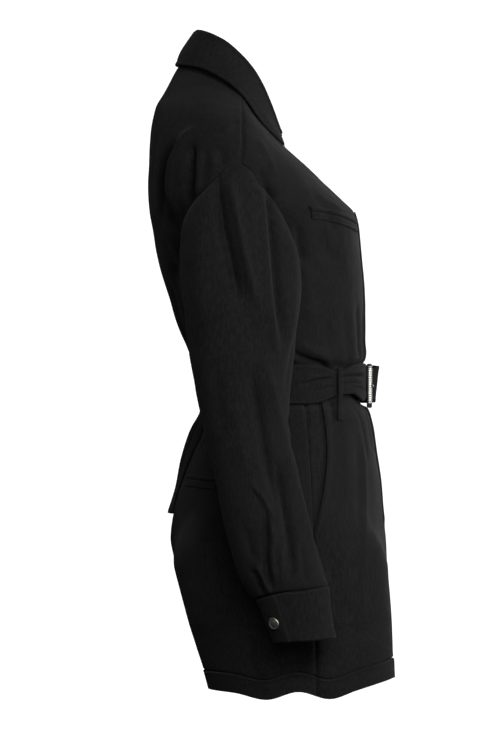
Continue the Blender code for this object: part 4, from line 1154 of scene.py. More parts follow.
stand = np.stack([spaced(strip[: ROLL_ROW + 1, k], STAND_ROWS) for k in range(COLLAR_STEPS + 1)], axis=1)
leaf = np.stack([spaced(strip[ROLL_ROW:, k], LEAF_ROWS) for k in range(COLLAR_STEPS + 1)], axis=1)


def whole(half):
    """Both sides of the collar, from the right half."""
    return np.concatenate([mirrored(half[:, :0:-1]), half], axis=1)


collar_form = np.concatenate([whole(stand), whole(leaf)[1:]])
collar_out = grid_normals(collar_form, wrap=False)
if collar_out[STAND_ROWS, COLLAR_STEPS, 2] < 0:
    collar_out = -collar_out
under = whole(bodice_normal(*neck_seam.T)[None])[0]
foot_out = collar_out[0]
collar_out[0] = unit(foot_out - (foot_out * under).sum(-1, keepdims=True) * under)
LEAF_FOLDS = [
    Fold("right", [(40, 62), (30, 56), (14, 42)], -0.8, 6),
    Fold("left", [(44, 66), (30, 54), (20, 40)], -0.9, 7),
    Fold("back", [(-20, 80), (-24, 66), (-26, 54)], -0.8, 8),
    Fold("front", [(-84, 0), (-86, -20), (-84, -44)], 0.8, 9),
]
collar_move = fold_relief(collar_form, collar_out, LEAF_FOLDS) + unevenness(collar_form, 0.45)
free = nearest(collar_form, "first", "last", "bottom")
collar_move += turned_edge(free, 0.5) - 0.35 * bead(free, TURNED_IN, STEP_WIDE)
collar_move *= ease(edge_distance(collar_form, "top") / 8)
collar = collar_form + collar_out * collar_move[..., None]
stand_grid, leaf_grid = collar[: STAND_ROWS + 1], collar[STAND_ROWS:]
shell("collar_stand", stand_grid, collar_out[: STAND_ROWS + 1], CLOTH)
shell("collar_leaf", leaf_grid, collar_out[STAND_ROWS:], CLOTH)

# %% [markdown]
# ## Placket, fly and pocket welts
# A strip that is sewn on is made from the places of the panel under it, moved out by what it is sewn
# through, with the panel's own folds, so it never cuts in. The front opening is covered by a plain
# band, so no buttons show. The breast and back pockets are jetted: two narrow lips with the dark slit
# between them.

# %% Placket and fly
PLACKET_HALF, FLY_END = 19.0, -537.0
SUNK = 0.3  # mm that a strip sinks into the panel it is sewn on


def strip_edges(grid):
    """The long edges of a sewn strip, rolled down, with a ridge and the dip where the turned cloth ends."""
    side = nearest(grid, "first", "last")
    return 0.4 * bead(side, 3, 2) - 0.3 * bead(side, TURNED_IN, STEP_WIDE) - 0.9 * bead(side, 0, 0.8)


rows = row_heights([WAIST + 2, -334, -322, -290, -240, -190, -164, V_BOTTOM - 1], 72)
lean = np.arcsin((PLACKET_HALF / ring_at(BODICE, rows).side) ** (ring_at(BODICE, rows).square / 2))
share = np.linspace(-1, 1, 17)
places = np.stack([lean[:, None] * share, np.broadcast_to(rows[:, None], (len(rows), 17))], axis=-1)
form, out = form_grid(bodice_point, bodice_normal, places)
top = form + out * (CLOTH + bodice_relief(form, out) + strip_edges(form))[..., None]
shell("placket", top, out, CLOTH + SUNK, cut=form)

rows = row_heights([BELT_BOTTOM - 2, -403, -425, -460, -500, FLY_END], 48)
span = np.linspace(0, PLACKET_HALF, 9)
columns = [place_by_x(shorts_point, -x, rows, 0.0, math.pi / 4) for x in span]
places = np.stack([np.stack(columns, axis=1), np.broadcast_to(rows[:, None], (len(rows), 9))], axis=-1)
half_form, half_out = dressed_shorts(places, 1)[:2]
half_form[:, 0, 0] = half_out[:, 0, 0] = 0
form = np.concatenate([half_form[:, ::-1], mirrored(half_form[:, 1:])], axis=1)
out = unit(np.concatenate([half_out[:, ::-1], mirrored(half_out[:, 1:])], axis=1))
move = fold_relief(form, out, SHORTS_FOLDS + LEFT_SHORTS_FOLDS) + unevenness(form) + strip_edges(form)
move -= 1.3 * ease(1 - edge_distance(form, "bottom") / 14) + 1.6 * ease(1 - edge_distance(form, "top") / 8)
shell("fly", form + out * (CLOTH + move)[..., None], out, CLOTH + SUNK, cut=form)

# %% Pocket welts
Welt = namedtuple("Welt", "start end height bow")
BREAST_WELT = Welt(SidePoint(-94, -142), SidePoint(-152, -156), 16, 3.6)
BACK_WELT = Welt(SidePoint(22, -479), SidePoint(60, -475), 15, 0)
WELT_RISE, LIP_HIGH, SLIT_DEEP, SLIT_WIDE = 1.3, 1.5, 1.1, 1.3  # mm
WELT_CLOTH = 1.0  # mm
SLIT_ABOVE = 2.2  # mm from the welt's middle, so that the lower lip is the wider one


def welt_places(welt, locate, rows=33, columns=48):
    """A grid of places for a welt, above and below its middle line, which bows up between its ends."""
    share = np.linspace(0, 1, columns + 1)
    z = blend(welt.start.z, welt.end.z, share) + welt.bow * 4 * share * (1 - share)
    line = locate(blend(welt.start.y, welt.end.y, share), z)
    offset = np.linspace(0.5, -0.5, rows)[:, None] * welt.height
    return np.stack([line[:, 0] + 0 * offset, line[:, 1] + offset], axis=-1)


def make_welt(name, welt, point_of, normal_of, locate, relief):
    """A pair of welts. The upper lip laps over the slit, so that the slit draws a dark line."""
    form, out = form_grid(point_of, normal_of, welt_places(welt, locate))
    for side, hand in (("_right", 1), ("_left", -1)):
        if hand < 0:
            form, out = mirrored(form), mirrored(out)
        middle = np.linspace(0.5, -0.5, form.shape[0])[:, None] * welt.height
        lips = LIP_HIGH * ease((middle - SLIT_ABOVE) / 1.2 + 0.5) * ease((0.5 * welt.height - middle) / 3.5)
        ends = ease(nearest(form, "first", "last") / 5)
        slit = SLIT_DEEP * ends * bead(middle, SLIT_ABOVE - 1.0, SLIT_WIDE)
        border = 0.2 * bead(np.abs(middle), 0.5 * welt.height - 1, 0.8)
        rise = WELT_RISE + lips - slit + border + relief(form, out, hand)
        shell(name + side, form + out * rise[..., None], out, WELT_CLOTH, cut=form)


def on_bodice(form, out, hand):
    """The bodice's relief. One list of folds serves both of its sides."""
    return bodice_relief(form, out)


def on_shorts(form, out, hand):
    """The relief of the shorts on the side of that hand: 1 right, -1 left."""
    return fold_relief(form, out, SHORTS_FOLDS if hand > 0 else LEFT_SHORTS_FOLDS) + unevenness(form)


def seat_place(y, z):
    """The angle and height of the shorts' points that show at (y, z) from the wearer's right."""
    return np.stack([place_by_y(shorts_point, y, z, *HIP_ARC), z], axis=-1)


make_welt("breast_welt", BREAST_WELT, bodice_point, bodice_normal, bodice_place, on_bodice)
make_welt("back_welt", BACK_WELT, shorts_point, shorts_normal, seat_place, on_shorts)

# %% [markdown]
# ## Cuffs
# A cuff is a doubled band with its edges turned in. It laps over itself where the snap is, so one end
# shows as a step beside the snap. The slit above it is bound by a short strip.

# %% Cuffs
CUFF_ROWS = 28
CAD_ROWS, CAD_COLUMNS = 13, 18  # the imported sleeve's rings and its steps round, which places are told in
SNAP_PLACE = (1.14, 15.6)  # down the cuff's two rings, and round
count = len(hole)
share = np.linspace(0, 1, CUFF_ROWS + 1)[:, None, None]
cuff_form = blend(cut_points(CUFF_TOP, count)[None], cut_points(CUFF_END, count)[None], share)
cuff_out = grid_normals(cuff_form, wrap=True)
LAP_RISE = 1.3  # mm
LAP = int(count * (SNAP_PLACE[1] + 1.1) / CAD_COLUMNS)  # the column where the upper end stops
CUFF_FOLDS = [
    Fold("right", [(-60, -612), (-66, -640), (-72, -670)], -0.9, 8),
    Fold("right", [(-100, -612), (-104, -640), (-106, -668)], 0.8, 9),
    Fold("front", [(-230, -612), (-232, -640), (-230, -670)], -1.2, 9),
]


def make_cuff(side, form, out, folds):
    """A cuff's shell, with its turned edges and the step where its upper end stops."""
    edge_near = nearest(form, "top", "bottom")
    move = fold_relief(form, out, folds) + unevenness(form, 0.5)
    move += 0.5 * bead(edge_near, 3, 3) - 0.5 * bead(edge_near, 0, 1.2)
    around = (np.arange(count) - LAP) % count
    step = np.where(around < count // 2, 0.0, 1.0)
    near = np.abs(((np.arange(count) - LAP + count // 2) % count) - count // 2)
    move += (LAP_RISE * step * bead(near, 0, 9.0))[None]
    shell("cuff_" + side, form + out * move[..., None], out, DOUBLE, wrap=True, cut=form, plies=2)


make_cuff("right", cuff_form, cuff_out, CUFF_FOLDS)
make_cuff("left", mirrored(cuff_form), mirrored(cuff_out), other_side(CUFF_FOLDS, 2.0, 1.2))

# %% The strip above the cuff
VENT_ROWS, VENT_COLUMNS = (12.1, 12.96), (16.1, 16.7)


def on_grid(grid, row, column):
    """Places on a grid that wraps, at fractions of a row and a column."""
    i = np.clip(np.floor(row).astype(int), 0, len(grid) - 2)
    j = np.floor(column).astype(int)
    u, v = (row - i)[..., None], (column - j)[..., None]
    wide = grid.shape[1]
    upper = blend(grid[i, j % wide], grid[i, (j + 1) % wide], v)
    lower = blend(grid[i + 1, j % wide], grid[i + 1, (j + 1) % wide], v)
    return blend(upper, lower, u)


down = np.linspace(*VENT_ROWS, 25) * SLEEVE_ROWS / CAD_ROWS
across = np.linspace(*VENT_COLUMNS, 9) * count / CAD_COLUMNS
row, column = np.meshgrid(down, across, indexing="ij")
for side in ("right", "left"):
    sleeve = SHELLS["sleeve_" + side]
    base, out = on_grid(sleeve.grid, row, column), unit(on_grid(sleeve.normals, row, column))
    border = nearest(base, "first", "last", "top")
    slit = np.linspace(-1, 1, base.shape[1]) ** 2
    rise = 1.2 - 0.9 * bead(border, 0, 0.8) - 0.6 * bead(slit, 0, 0.04) * ease(border / 2)
    shell("sleeve_placket_" + side, base + out * rise[..., None], out, CLOTH)

# %% [markdown]
# ## Belt
# The belt is a soft tie of the same cloth, interfaced but not stiff. It gathers where a loop holds it
# and where it enters the buckle, so its edges draw together there and creases fan out from them. Past
# the buckle its end runs on round the wearer's left and hangs behind as a tail.

# %% The belt's measures and creases
BELT_COLUMNS, BELT_ROWS = 360, 52
TAIL = side_points((44, -383), (46, -394), (58, -416), (69, -451), (76, -487), (86, -519))
TAIL_LEFT, TAIL_RIGHT = 54.0, 8.0
LOOP_FRONT_Y, LOOP_BACK_X, LOOP_WIDTH = -130.0, -84.0, 8.0
LOOP_TOP, LOOP_END = -334.5, -401.0
LOOP_LEVEL = -355.0  # the height at which the loops' places round the belt are found
BUNCHED = 26.0  # mm ahead of the front loops over which the lower edge stays drawn up
DRAWN_DOWN, DRAWN_UP, BUNCHED_UP, FRONT_RISE = 8.0, 11.0, 12.0, 3.0  # mm that its edges move at most
CREASE_WIDE = 1.8
DEEPEST, HIGHEST = 3.4, 1.6  # mm that a crease may go in and a roll of cloth may come out


def crease(seen, path, depth):
    """A tight crease in a doubled strip: a narrow groove below the roll of cloth that hangs over it."""
    roll = [(across, up + 1.9 * CREASE_WIDE) for across, up in path]
    return [Fold(seen, path, -depth, CREASE_WIDE), Fold(seen, roll, 0.5 * depth, 1.5 * CREASE_WIDE)]


BELT_FOLDS = [
    *crease("right", [(-80, -357), (-98, -351), (-112, -348.5), (-126, -347)], 4.4),
    *crease("right", [(-96, -364), (-110, -361), (-126, -357)], 1.8),
    *crease("right", [(-130, -347), (-146, -344.5), (-164, -345.5)], 4.4),
    *crease("right", [(-130, -356), (-146, -354), (-162, -354.5)], 2.2),
    *crease("front", [(-96, -348), (-70, -344), (-40, -342)], 2.4),
    *crease("front", [(-90, -358), (-60, -360), (-28, -364)], 1.8),
    *crease("back", [(-96, -350), (-70, -352), (-30, -348)], 2.4),
    *crease("back", [(-84, -362), (-50, -360), (0, -364)], 1.8),
]
BELT_FOLDS += other_side(BELT_FOLDS, 2.0, 1.0)
print("grooves and rolls of the belt:", len(BELT_FOLDS))

# %% Belt
def held_in(angle):
    """How much the belt is drawn together by loops and buckle, from 0 to 1, round its angles."""
    level = np.array([LOOP_LEVEL])
    front_loop = place_by_y(belt_point, LOOP_FRONT_Y, level, 0.3, 2.8)[0]
    back_loop = place_by_x(belt_point, LOOP_BACK_X, level, math.pi / 2, 3.0)[0]
    total = np.zeros_like(angle)
    for place, wide, much in ((front_loop, 0.20, 1.0), (back_loop, 0.14, 0.55)):
        for centre in (place, 2 * math.pi - place):
            total += much * bead(angle, centre, wide)
    for centre in (0.0, 2 * math.pi):
        total += 0.45 * bead(angle, centre, 0.18)
    return total


def belt_grid(angle):
    """Rows of the belt from its upper to its lower edge at each angle, drawn together where it is held."""
    held = held_in(angle)
    front = bead(np.minimum(angle, 2 * math.pi - angle), 0, 0.5)
    upper = BELT_TOP - DRAWN_DOWN * held + FRONT_RISE * front
    ahead = (LOOP_FRONT_Y - belt_point(angle, 0 * angle + BELT_TOP)[:, 1]) / BUNCHED
    bunched = ease(ahead * 4 + 1) * ease((1.35 - ahead) * 1.5)
    lower = BELT_BOTTOM + np.maximum(DRAWN_UP * held, BUNCHED_UP * bunched) + FRONT_RISE * front
    height = blend(upper, lower, np.linspace(0, 1, BELT_ROWS + 1)[:, None])
    angles = np.broadcast_to(angle, height.shape)
    return belt_point(angles, height), belt_normal(angles, height)


turns = np.arange(BELT_COLUMNS) * 2 * math.pi / BELT_COLUMNS
belt_form, belt_out = belt_grid(turns)
near_edge = nearest(belt_form, "top", "bottom")
belt_move = fold_relief(belt_form, belt_out, BELT_FOLDS) + unevenness(belt_form, 0.5)
belt_move += turned_edge(near_edge, 0.5) - 0.5 * bead(near_edge, 0, 1.0)
belt_move = np.clip(belt_move, -DEEPEST, HIGHEST)
creased = belt_form + belt_out * belt_move[..., None]
shell("belt", creased, belt_out, DOUBLE, wrap=True, cut=belt_form, plies=2)

# %% Belt end and tail
Rise = namedtuple("Rise", "x top bottom narrow")  # how far out its edges stand, and how drawn together
BELT_END = [
    Rise(4, 6.5, 6.5, 6),
    Rise(12, 8.5, 8, 5),
    Rise(21, 17.5, 12.5, 1),
    Rise(44, 14, 8.5, 0),
    Rise(75, 3.6, 3.6, 0),
]
close = BELT_END[-1]
middle_height = np.array([(BELT_TOP + BELT_BOTTOM) / 2])
last = place_by_x(belt_point, -TAIL_RIGHT, middle_height, math.pi / 2, math.pi)[0]
near = [place_by_x(belt_point, -r.x, middle_height, 0.0, math.pi / 2)[0] for r in BELT_END]
angle = np.linspace(near[0], last, 160)
stand_top = np.interp(angle, near, [r.top for r in BELT_END])
stand_low = np.interp(angle, near, [r.bottom for r in BELT_END])
narrow = np.interp(angle, near, [r.narrow for r in BELT_END])
narrow += 5 * held_in(angle) * ease((angle - near[-1]) / 0.3)
share = np.linspace(0, 1, BELT_ROWS + 1)[:, None]
height = blend(BELT_TOP - 0.5 - narrow, BELT_BOTTOM + 0.5 + narrow, share)
angles = np.broadcast_to(-angle, height.shape)
form, out = belt_point(angles, height), belt_normal(angles, height)
stand_out = blend(stand_top, stand_low, share)
END_FOLDS = [
    Fold("front", [(22, -346), (40, -343), (66, -342)], -1.5, 3.0),
    Fold("front", [(20, -364), (44, -366), (76, -364)], -1.6, 3.2),
    Fold("left", [(-110, -350), (-84, -356), (-50, -352)], -1.4, 3.4),
    Fold("back", [(90, -352), (60, -348), (26, -352)], -1.4, 3.4),
]
move = np.maximum(fold_relief(form, out, END_FOLDS), -1.2)
move += turned_edge(nearest(form, "top", "bottom"), 0.4)
shell("belt_end", form + out * (stand_out + 0.3 + move)[..., None], out, DOUBLE, cut=form, plies=2)

path = spaced(catmull(TAIL), 60)
seat = shorts_point(np.full(61, math.pi - 0.05), path[:, 1])[:, 1]
inner = np.minimum(seat + DOUBLE - 0.5, path[:, 0])
share = np.linspace(0, 1, 19)[None]
x = TAIL_RIGHT + (TAIL_LEFT - TAIL_RIGHT) * share + 0 * inner[:, None]
y = inner[:, None] + (path[:, :1] - inner[:, None]) * (1 - (1 - share) ** 1.6)
tail_form = np.stack([x, y, np.broadcast_to(path[:, 1:], x.shape)], axis=-1)
tail_out = grid_normals(tail_form, wrap=False)
tail_out *= np.sign(tail_out[0, 0, 1])
TAIL_FOLDS = [
    Fold("back", [(26, -386), (30, -420), (30, -480)], -1.2, 4),
    Fold("back", [(42, -386), (42, -430), (40, -510)], 1.0, 5),
]
near_edge = nearest(tail_form, "first", "last", "bottom")
move = fold_relief(tail_form, tail_out, TAIL_FOLDS) + turned_edge(near_edge, 0.4)
shell("belt_tail", tail_form + tail_out * move[..., None], tail_out, DOUBLE, cut=tail_form, plies=2)

# %% Belt loops
STRIP_HALF = 0.8  # mm, half a loop's own cloth
for place in ("front", "back"):
    for side, hand, over in (("right", 1, 0.0), ("left", -1, close.top + 0.3)):
        height = np.concatenate([np.linspace(LOOP_TOP, BELT_BOTTOM + 1, 30), np.linspace(-383, LOOP_END, 14)])
        centres, outs = [], []
        for z in height:
            on_belt = z > BELT_BOTTOM
            form_of, normal_of = (belt_point, belt_normal) if on_belt else (shorts_point, shorts_normal)
            at = np.array([z])
            if place == "front":
                angle = place_by_y(form_of, LOOP_FRONT_Y, at, 0.3, math.pi - 0.3)
            else:
                angle = place_by_x(form_of, LOOP_BACK_X, at, math.pi / 2, math.pi - 0.1)
            out = normal_of(angle, at)[0]
            lift = LIFT + CLOTH + (over if on_belt else 0) + STRIP_HALF
            centres.append(form_of(angle, at)[0] + out * lift)
            outs.append(out)
        centres, outs = np.array(centres), unit(outs)
        for _ in range(4):
            centres[1:-1] = (centres[:-2] + 2 * centres[1:-1] + centres[2:]) / 4
            outs[1:-1] = unit(outs[:-2] + 2 * outs[1:-1] + outs[2:])
        wide = unit(np.cross(outs, [0, 0, 1]))
        offset = np.linspace(-0.5, 0.5, 7)[None, :, None] * LOOP_WIDTH
        grid = centres[:, None] + wide[:, None] * offset
        crown = 0.5 * (1 - (2 * np.abs(offset) / LOOP_WIDTH) ** 4)
        grid = grid + outs[:, None] * crown
        outs = np.broadcast_to(outs[:, None], grid.shape)
        if hand < 0:
            grid, outs = mirrored(grid), mirrored(outs)
        shell(f"belt_loop_{place}_{side}", grid, outs, CLOTH, plies=2)

# %% [markdown]
# ## Metal
# Each cuff closes with a pressed snap: a cap with a rolled rim and a slightly domed face, satin from
# the tumbling barrel. The buckle is a rectangular frame cast in zinc and nickel plated, with rounded
# bars and a single prong, polished but not mirror bright. The cap is a profile turned round its axis,
# and a bar is a ring swept round the frame's line.

# %% Nickel
def nickel(name, colour, roughness, wear):
    """Plated metal whose gloss varies a little where fingers have polished it."""
    made, tree, shader = new_finish(name)
    place = add_node(tree, "ShaderNodeTexCoord").outputs["Object"]
    cloud = add_node(tree, "ShaderNodeTexNoise", {"Vector": place, "Scale": 1 / (3 * MM), "Detail": 3.0})
    gloss = add_node(tree, "ShaderNodeMapRange", {
        "Value": cloud.outputs["Fac"], "To Min": roughness - wear, "To Max": roughness + wear,
    })
    tree.links.new(gloss.outputs["Result"], shader.inputs["Roughness"])
    set_inputs(shader, Base_Color=linear(colour), Metallic=1.0)
    return made


SATIN_NICKEL = nickel("satin_nickel", "#f0f2e4", 0.45, 0.08)
POLISHED_NICKEL = nickel("polished_nickel", "#eceae4", 0.38, 0.06)
print("metals:", SATIN_NICKEL.name, POLISHED_NICKEL.name)

# %% Turned shapes
def facing_out(made):
    """The same closed piece with all its faces turned outwards."""
    shape = bmesh.new()
    shape.from_mesh(made.data)
    bmesh.ops.recalc_face_normals(shape, faces=shape.faces)
    shape.to_mesh(made.data)
    shape.free()
    return made


def turned(name, profile, place, axis, finish, count=40):
    """A closed shape turned round an axis from a profile of (radius, height) that starts and ends on it."""
    turn = np.arange(count) * 2 * math.pi / count
    side = unit(np.cross(axis, [0, 0, 1]))
    up = np.cross(side, axis)
    points, faces = [], []
    rings = [(r, h) for r, h in profile if r > 0]
    for radius, height in rings:
        ring = np.outer(np.cos(turn), side) + np.outer(np.sin(turn), up)
        points += list(place + axis * height + ring * radius)
    for k in range(len(rings) - 1):
        for j in range(count):
            i = (j + 1) % count
            faces.append((k * count + j, k * count + i, (k + 1) * count + i, (k + 1) * count + j))
    for k, (radius, height) in ((0, profile[0]), (len(rings) - 1, profile[-1])):
        points.append(place + axis * height)
        for j in range(count):
            i = (j + 1) % count
            triangle = (len(points) - 1, k * count + i, k * count + j)
            faces.append(triangle if k == 0 else triangle[::-1])
    return facing_out(new_object(name, points, faces, finish))

# %% Snaps
CAP = [  # (radius, height): the back, the rolled rim, the groove inside it and the domed face
    (0, 0.2), (7.0, 0.2), (7.4, 0.7), (7.5, 1.3), (7.3, 1.9), (6.9, 2.3), (6.4, 2.35),
    (6.0, 2.1), (5.7, 1.95), (5.3, 2.05), (4.4, 2.35), (3.0, 2.65), (1.5, 2.8), (0, 2.85),
]
for side, hand in (("right", 1.0), ("left", -1.0)):
    cuff = SHELLS["cuff_" + side]
    row = np.array([SNAP_PLACE[0] * CUFF_ROWS / 2])
    column = np.array([SNAP_PLACE[1] * count / CAD_COLUMNS])
    place = on_grid(cuff.grid, row, column)[0]
    axis = unit(on_grid(cuff.normals, row, column))[0]
    cap = turned("snap_" + side, CAP, place, axis, SATIN_NICKEL)
    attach(cap, "root")
    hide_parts("snap_" + side)
print("snap caps:", 2 * max(radius for radius, height in CAP), "mm across")

# %% Buckle
BUCKLE_WIDE, BUCKLE_TALL = 44.0, 56.0
BUCKLE_BAR, BUCKLE_THICK, BUCKLE_STAND, BUCKLE_DROP, BUCKLE_CORNER = 5.0, 3.4, 2.0, 2.0, 5.5
BAR_DEEP = 6.4  # mm from the front of a bar's ribs to their back
RIBS, RIB_STEPS = 60, 4  # round the frame, and rings from one to the next
PRONG_HALF, PRONG_THIN = 1.6, 1.2  # mm, half its width and half its thickness
buckle_middle = (BELT_TOP + BELT_BOTTOM) / 2 - BUCKLE_DROP
buckle_face = BELT[0].front - BUCKLE_STAND - BUCKLE_THICK


def rounded_frame(wide, tall, radius, steps=8):
    """A rectangle's outline with round corners, level with the garment's front."""
    line = []
    for corner_x, corner_z, start in ((1, 1, 0), (-1, 1, 90), (-1, -1, 180), (1, -1, 270)):
        for k in range(steps + 1):
            turn = math.radians(start + 90 * k / steps)
            x = corner_x * (wide / 2 - radius) + radius * math.cos(turn)
            z = corner_z * (tall / 2 - radius) + radius * math.sin(turn)
            line.append((x, 0.0, z))
    return np.array(line)


def swept(name, line, half_wide, half_thick, finish, closed, ribs=0.0, sides=16):
    """A rounded bar along a line that lies in the plane of the buckle, with cross grooves as ribs."""
    along = np.roll(line, -1, axis=0) - np.roll(line, 1, axis=0) if closed else np.gradient(line, axis=0)
    across = np.cross(unit(along), [0, 1, 0])
    turn = (np.arange(sides) + 0.5) * 2 * math.pi / sides
    c, s = power_of(np.cos(turn), 0.7), power_of(np.sin(turn), 0.7)
    grow = (1 - ribs * (np.arange(len(line)) % RIB_STEPS == 0))[:, None, None]
    rings = line[:, None] + across[:, None] * (c * half_wide)[None, :, None] * grow
    rings = rings + np.array([0, 1.0, 0]) * (s * half_thick)[None, :, None] * grow
    rows = len(line)
    faces = []
    for k in range(rows if closed else rows - 1):
        for j in range(sides):
            a, b = k * sides, (k + 1) % rows * sides
            faces.append((a + j, a + (j + 1) % sides, b + (j + 1) % sides, b + j))
    if not closed:
        faces += [tuple(range(sides)), tuple(range(sides * (rows - 1), sides * rows))]
    return facing_out(new_object(name, rings.reshape(-1, 3), faces, finish))


centre = np.array([0, buckle_face + BUCKLE_THICK / 2, buckle_middle])
outline = rounded_frame(BUCKLE_WIDE - BUCKLE_BAR, BUCKLE_TALL - BUCKLE_BAR, BUCKLE_CORNER) + centre
outline = spaced(np.concatenate([outline, outline[:1]]), RIB_STEPS * RIBS)[:-1]
frame_bars = swept(
    "buckle_frame", outline, BUCKLE_BAR / 2, BAR_DEEP / 2, POLISHED_NICKEL, closed=True, ribs=0.2
)
PRONG = [(2.0, -1.2), (-3.0, -1.8), (-10.0, -2.4), (-18.0, -2.6), (-BUCKLE_WIDE / 2 - 1, -2.4)]  # across, out
prong_line = [(across, out + buckle_face, buckle_middle) for across, out in PRONG]
prong = swept("buckle_prong", catmull(prong_line, 6), PRONG_HALF, PRONG_THIN, POLISHED_NICKEL, closed=False)
for piece, node in ((frame_bars, "buckle_frame"), (prong, "buckle_prong")):
    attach(piece, "root")
    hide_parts(node)
print("buckle:", BUCKLE_WIDE, "x", BUCKLE_TALL, "mm")

# %% [markdown]
# ## Stitches
# Every edge that is turned is topstitched, in thread of the cloth's own colour. The thread is a little
# glossier than crepe, so a row shows as a faint bright line. A row keeps its distance from the edge, so
# its line is found on the panel's grid. Geometry Nodes then walk each line at the stitch's pitch and
# lay one short thread at every step, half sunk in the cloth.

# %% Lines along the edges
STITCH, PITCH, THREAD = 2.3, 3.1, 0.42  # mm: seen length, step and thread's thickness
THREAD_LIFT = 0.12  # mm from the cloth to the thread's middle


def inset_line(name, edge, inset, start=0.0, end=1.0):
    """Points on a shell at one distance from an edge, from one share of the edge to another."""
    made = SHELLS[name]
    distance = edge_distance(made.grid, edge)
    grid, out = made.grid, made.normals
    if edge in ("first", "last"):
        distance, grid, out = distance.T, grid.transpose(1, 0, 2), out.transpose(1, 0, 2)
    if edge in ("bottom", "last"):
        distance, grid, out = distance[::-1], grid[::-1], out[::-1]
    line = []
    columns = range(int(start * (grid.shape[1] - 1)), int(end * (grid.shape[1] - 1)) + 1)
    for k in columns:
        place = [np.interp(inset, distance[:, k], grid[:, k, axis]) for axis in range(3)]
        lift = [np.interp(inset, distance[:, k], out[:, k, axis]) for axis in range(3)]
        line.append(np.array(place) + unit(lift) * THREAD_LIFT)
    return np.array(line)


lines = []
for side in ("right", "left"):
    lines += [inset_line("shorts_front_" + side, "bottom", HEM_DEEP - 1.5)]
    lines += [inset_line("shorts_back_" + side, "bottom", HEM_DEEP - 1.5)]
    pocket = pocket_end / (len(shorts_rows) - 1)
    lines += [inset_line("shorts_front_" + side, "last", 5.0, 0.02, pocket)]
    lines += [inset_line("cuff_" + side, edge, 2.6) for edge in ("top", "bottom")]
    lines += [inset_line("front_" + side, "bottom", 5.0, 0.02, 0.98)]
    for welt in ("breast_welt_", "back_welt_"):
        for edge in ("top", "bottom", "first", "last"):
            lines += [inset_line(welt + side, edge, 1.2, 0.02, 0.98)]
    vent = "sleeve_placket_" + side
    lines += [inset_line(vent, edge, 1.4, 0.03, 0.97) for edge in ("first", "last")]
lines += [inset_line("collar_leaf", edge, 3.0, 0.04, 0.98) for edge in ("first", "last")]
lines += [inset_line("collar_leaf", "bottom", 3.0, 0.02, 0.98)]
lines += [inset_line("placket", edge, 4.5) for edge in ("first", "last")]
lines += [inset_line("fly", edge, 4.5, 0.0, 0.95) for edge in ("first", "last")]
lines += [inset_line("fly", "bottom", 5.0, 0.1, 0.9)]
lines += [inset_line("belt", edge, 3.0) for edge in ("top", "bottom")]
lines += [inset_line("belt_end", edge, 3.0) for edge in ("top", "bottom")]
lines += [inset_line("belt_tail", edge, 3.0, 0.0, 0.98) for edge in ("first", "last")]
lines += [inset_line("belt_tail", "bottom", 3.0, 0.06, 0.94)]
for place in ("front", "back"):
    for side in ("right", "left"):
        loop = f"belt_loop_{place}_{side}"
        lines += [inset_line(loop, edge, 1.4, 0.04, 0.97) for edge in ("first", "last")]
        lines += [inset_line(loop, "bottom", inset, 0.05, 0.95) for inset in (1.5, 2.3)]
sewn = sum(lengths(line)[-1] for line in lines)
print("rows of stitches:", len(lines), "together", round(sewn), "mm")

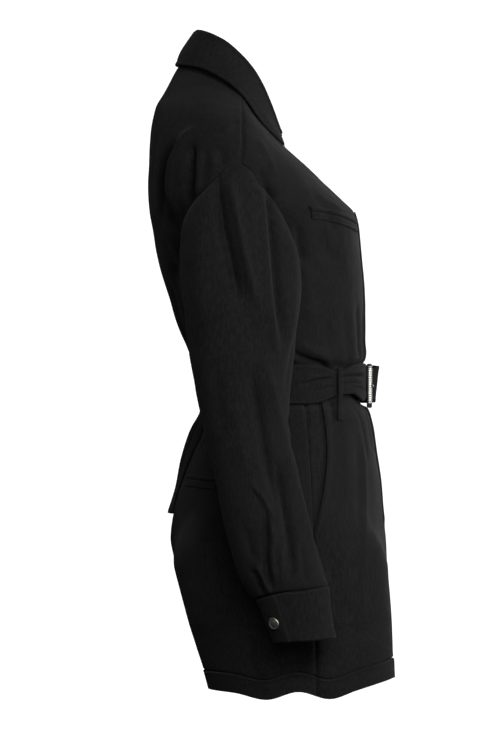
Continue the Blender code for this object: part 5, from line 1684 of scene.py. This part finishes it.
# %% Stitches along the lines
def stitch_nodes(finish):
    """Nodes that lay one thread at every step of a line, and the sockets of their three sizes."""
    tree = bpy.data.node_groups.new("stitches", "GeometryNodeTree")
    tree.interface.new_socket("Lines", in_out="INPUT", socket_type="NodeSocketGeometry")
    sizes = {}
    for size in ("Pitch", "Length", "Thickness"):
        socket = tree.interface.new_socket(size, in_out="INPUT", socket_type="NodeSocketFloat")
        sizes[size] = socket.identifier
    tree.interface.new_socket("Stitches", in_out="OUTPUT", socket_type="NodeSocketGeometry")

    given = add_node(tree, "NodeGroupInput").outputs
    curve = add_node(tree, "GeometryNodeMeshToCurve", {"Mesh": given["Lines"]})
    spacing = {"Curve": curve.outputs["Curve"], "Length": given["Pitch"]}
    steps = add_node(tree, "GeometryNodeResampleCurve", spacing, mode="LENGTH")
    along = add_node(tree, "GeometryNodeInputTangent")
    turn = add_node(tree, "FunctionNodeAlignEulerToVector", {"Vector": along.outputs["Tangent"]}, axis="Z")
    half = add_node(tree, "ShaderNodeMath", {0: given["Thickness"], 1: 0.5}, operation="MULTIPLY")
    thread = add_node(tree, "GeometryNodeMeshUVSphere", {"Segments": 5, "Rings": 3, "Radius": 1.0})
    long = add_node(tree, "ShaderNodeMath", {0: given["Length"], 1: 0.5}, operation="MULTIPLY")
    scale = add_node(tree, "ShaderNodeCombineXYZ", {
        "X": half.outputs[0], "Y": half.outputs[0], "Z": long.outputs[0],
    })
    placed = add_node(tree, "GeometryNodeInstanceOnPoints", {
        "Points": steps.outputs["Curve"], "Instance": thread.outputs["Mesh"],
        "Rotation": turn.outputs["Rotation"], "Scale": scale.outputs["Vector"],
    })
    plain = add_node(tree, "GeometryNodeRealizeInstances", {"Geometry": placed.outputs["Instances"]})
    finished = add_node(tree, "GeometryNodeSetMaterial", {
        "Geometry": plain.outputs["Geometry"], "Material": finish,
    })
    add_node(tree, "NodeGroupOutput", {"Stitches": finished.outputs["Geometry"]})
    return tree, sizes


def thread_finish():
    """Spun polyester thread of the cloth's colour, with the soft gloss of its twisted fibres."""
    made, tree, shader = new_finish("polyester_thread")
    place = add_node(tree, "ShaderNodeTexCoord").outputs["Object"]
    twist = add_node(tree, "ShaderNodeTexNoise", {"Vector": place, "Scale": 1 / (0.6 * MM), "Detail": 1.0})
    gloss = add_node(tree, "ShaderNodeMapRange", {
        "Value": twist.outputs["Fac"], "To Min": 0.4, "To Max": 0.65,
    })
    tree.links.new(gloss.outputs["Result"], shader.inputs["Roughness"])
    set_inputs(shader, Base_Color=linear("#2b2a2b"), Specular_IOR_Level=0.4, Sheen_Weight=0.1)
    return made


def sew(lines, finish):
    """One mesh of all the stitches along the lines."""
    points = np.concatenate(lines) * MM
    starts = np.cumsum([0] + [len(line) for line in lines[:-1]])
    edges = [(s + k, s + k + 1) for s, line in zip(starts, lines) for k in range(len(line) - 1)]
    mesh = bpy.data.meshes.new("stitch_lines")
    mesh.from_pydata(points.tolist(), [(int(a), int(b)) for a, b in edges], [])
    guide = bpy.data.objects.new("stitch_lines", mesh)
    bpy.context.scene.collection.objects.link(guide)
    tree, sizes = stitch_nodes(finish)
    modifier = guide.modifiers.new("stitches", "NODES")
    modifier.node_group = tree
    for size, value in (("Pitch", PITCH), ("Length", STITCH), ("Thickness", THREAD)):
        modifier[sizes[size]] = value * MM
    evaluated = guide.evaluated_get(bpy.context.evaluated_depsgraph_get())
    made = bpy.data.objects.new("stitches", bpy.data.meshes.new_from_object(evaluated))
    bpy.context.scene.collection.objects.link(made)
    bpy.data.objects.remove(guide)
    made.data.shade_smooth()
    return made


STITCH_VERTICES = 12  # of one stitch: two tips and two rings of five
stitches = sew(lines, thread_finish())
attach(stitches, "root")
print("stitches:", len(stitches.data.vertices) // STITCH_VERTICES, "faces", len(stitches.data.polygons))
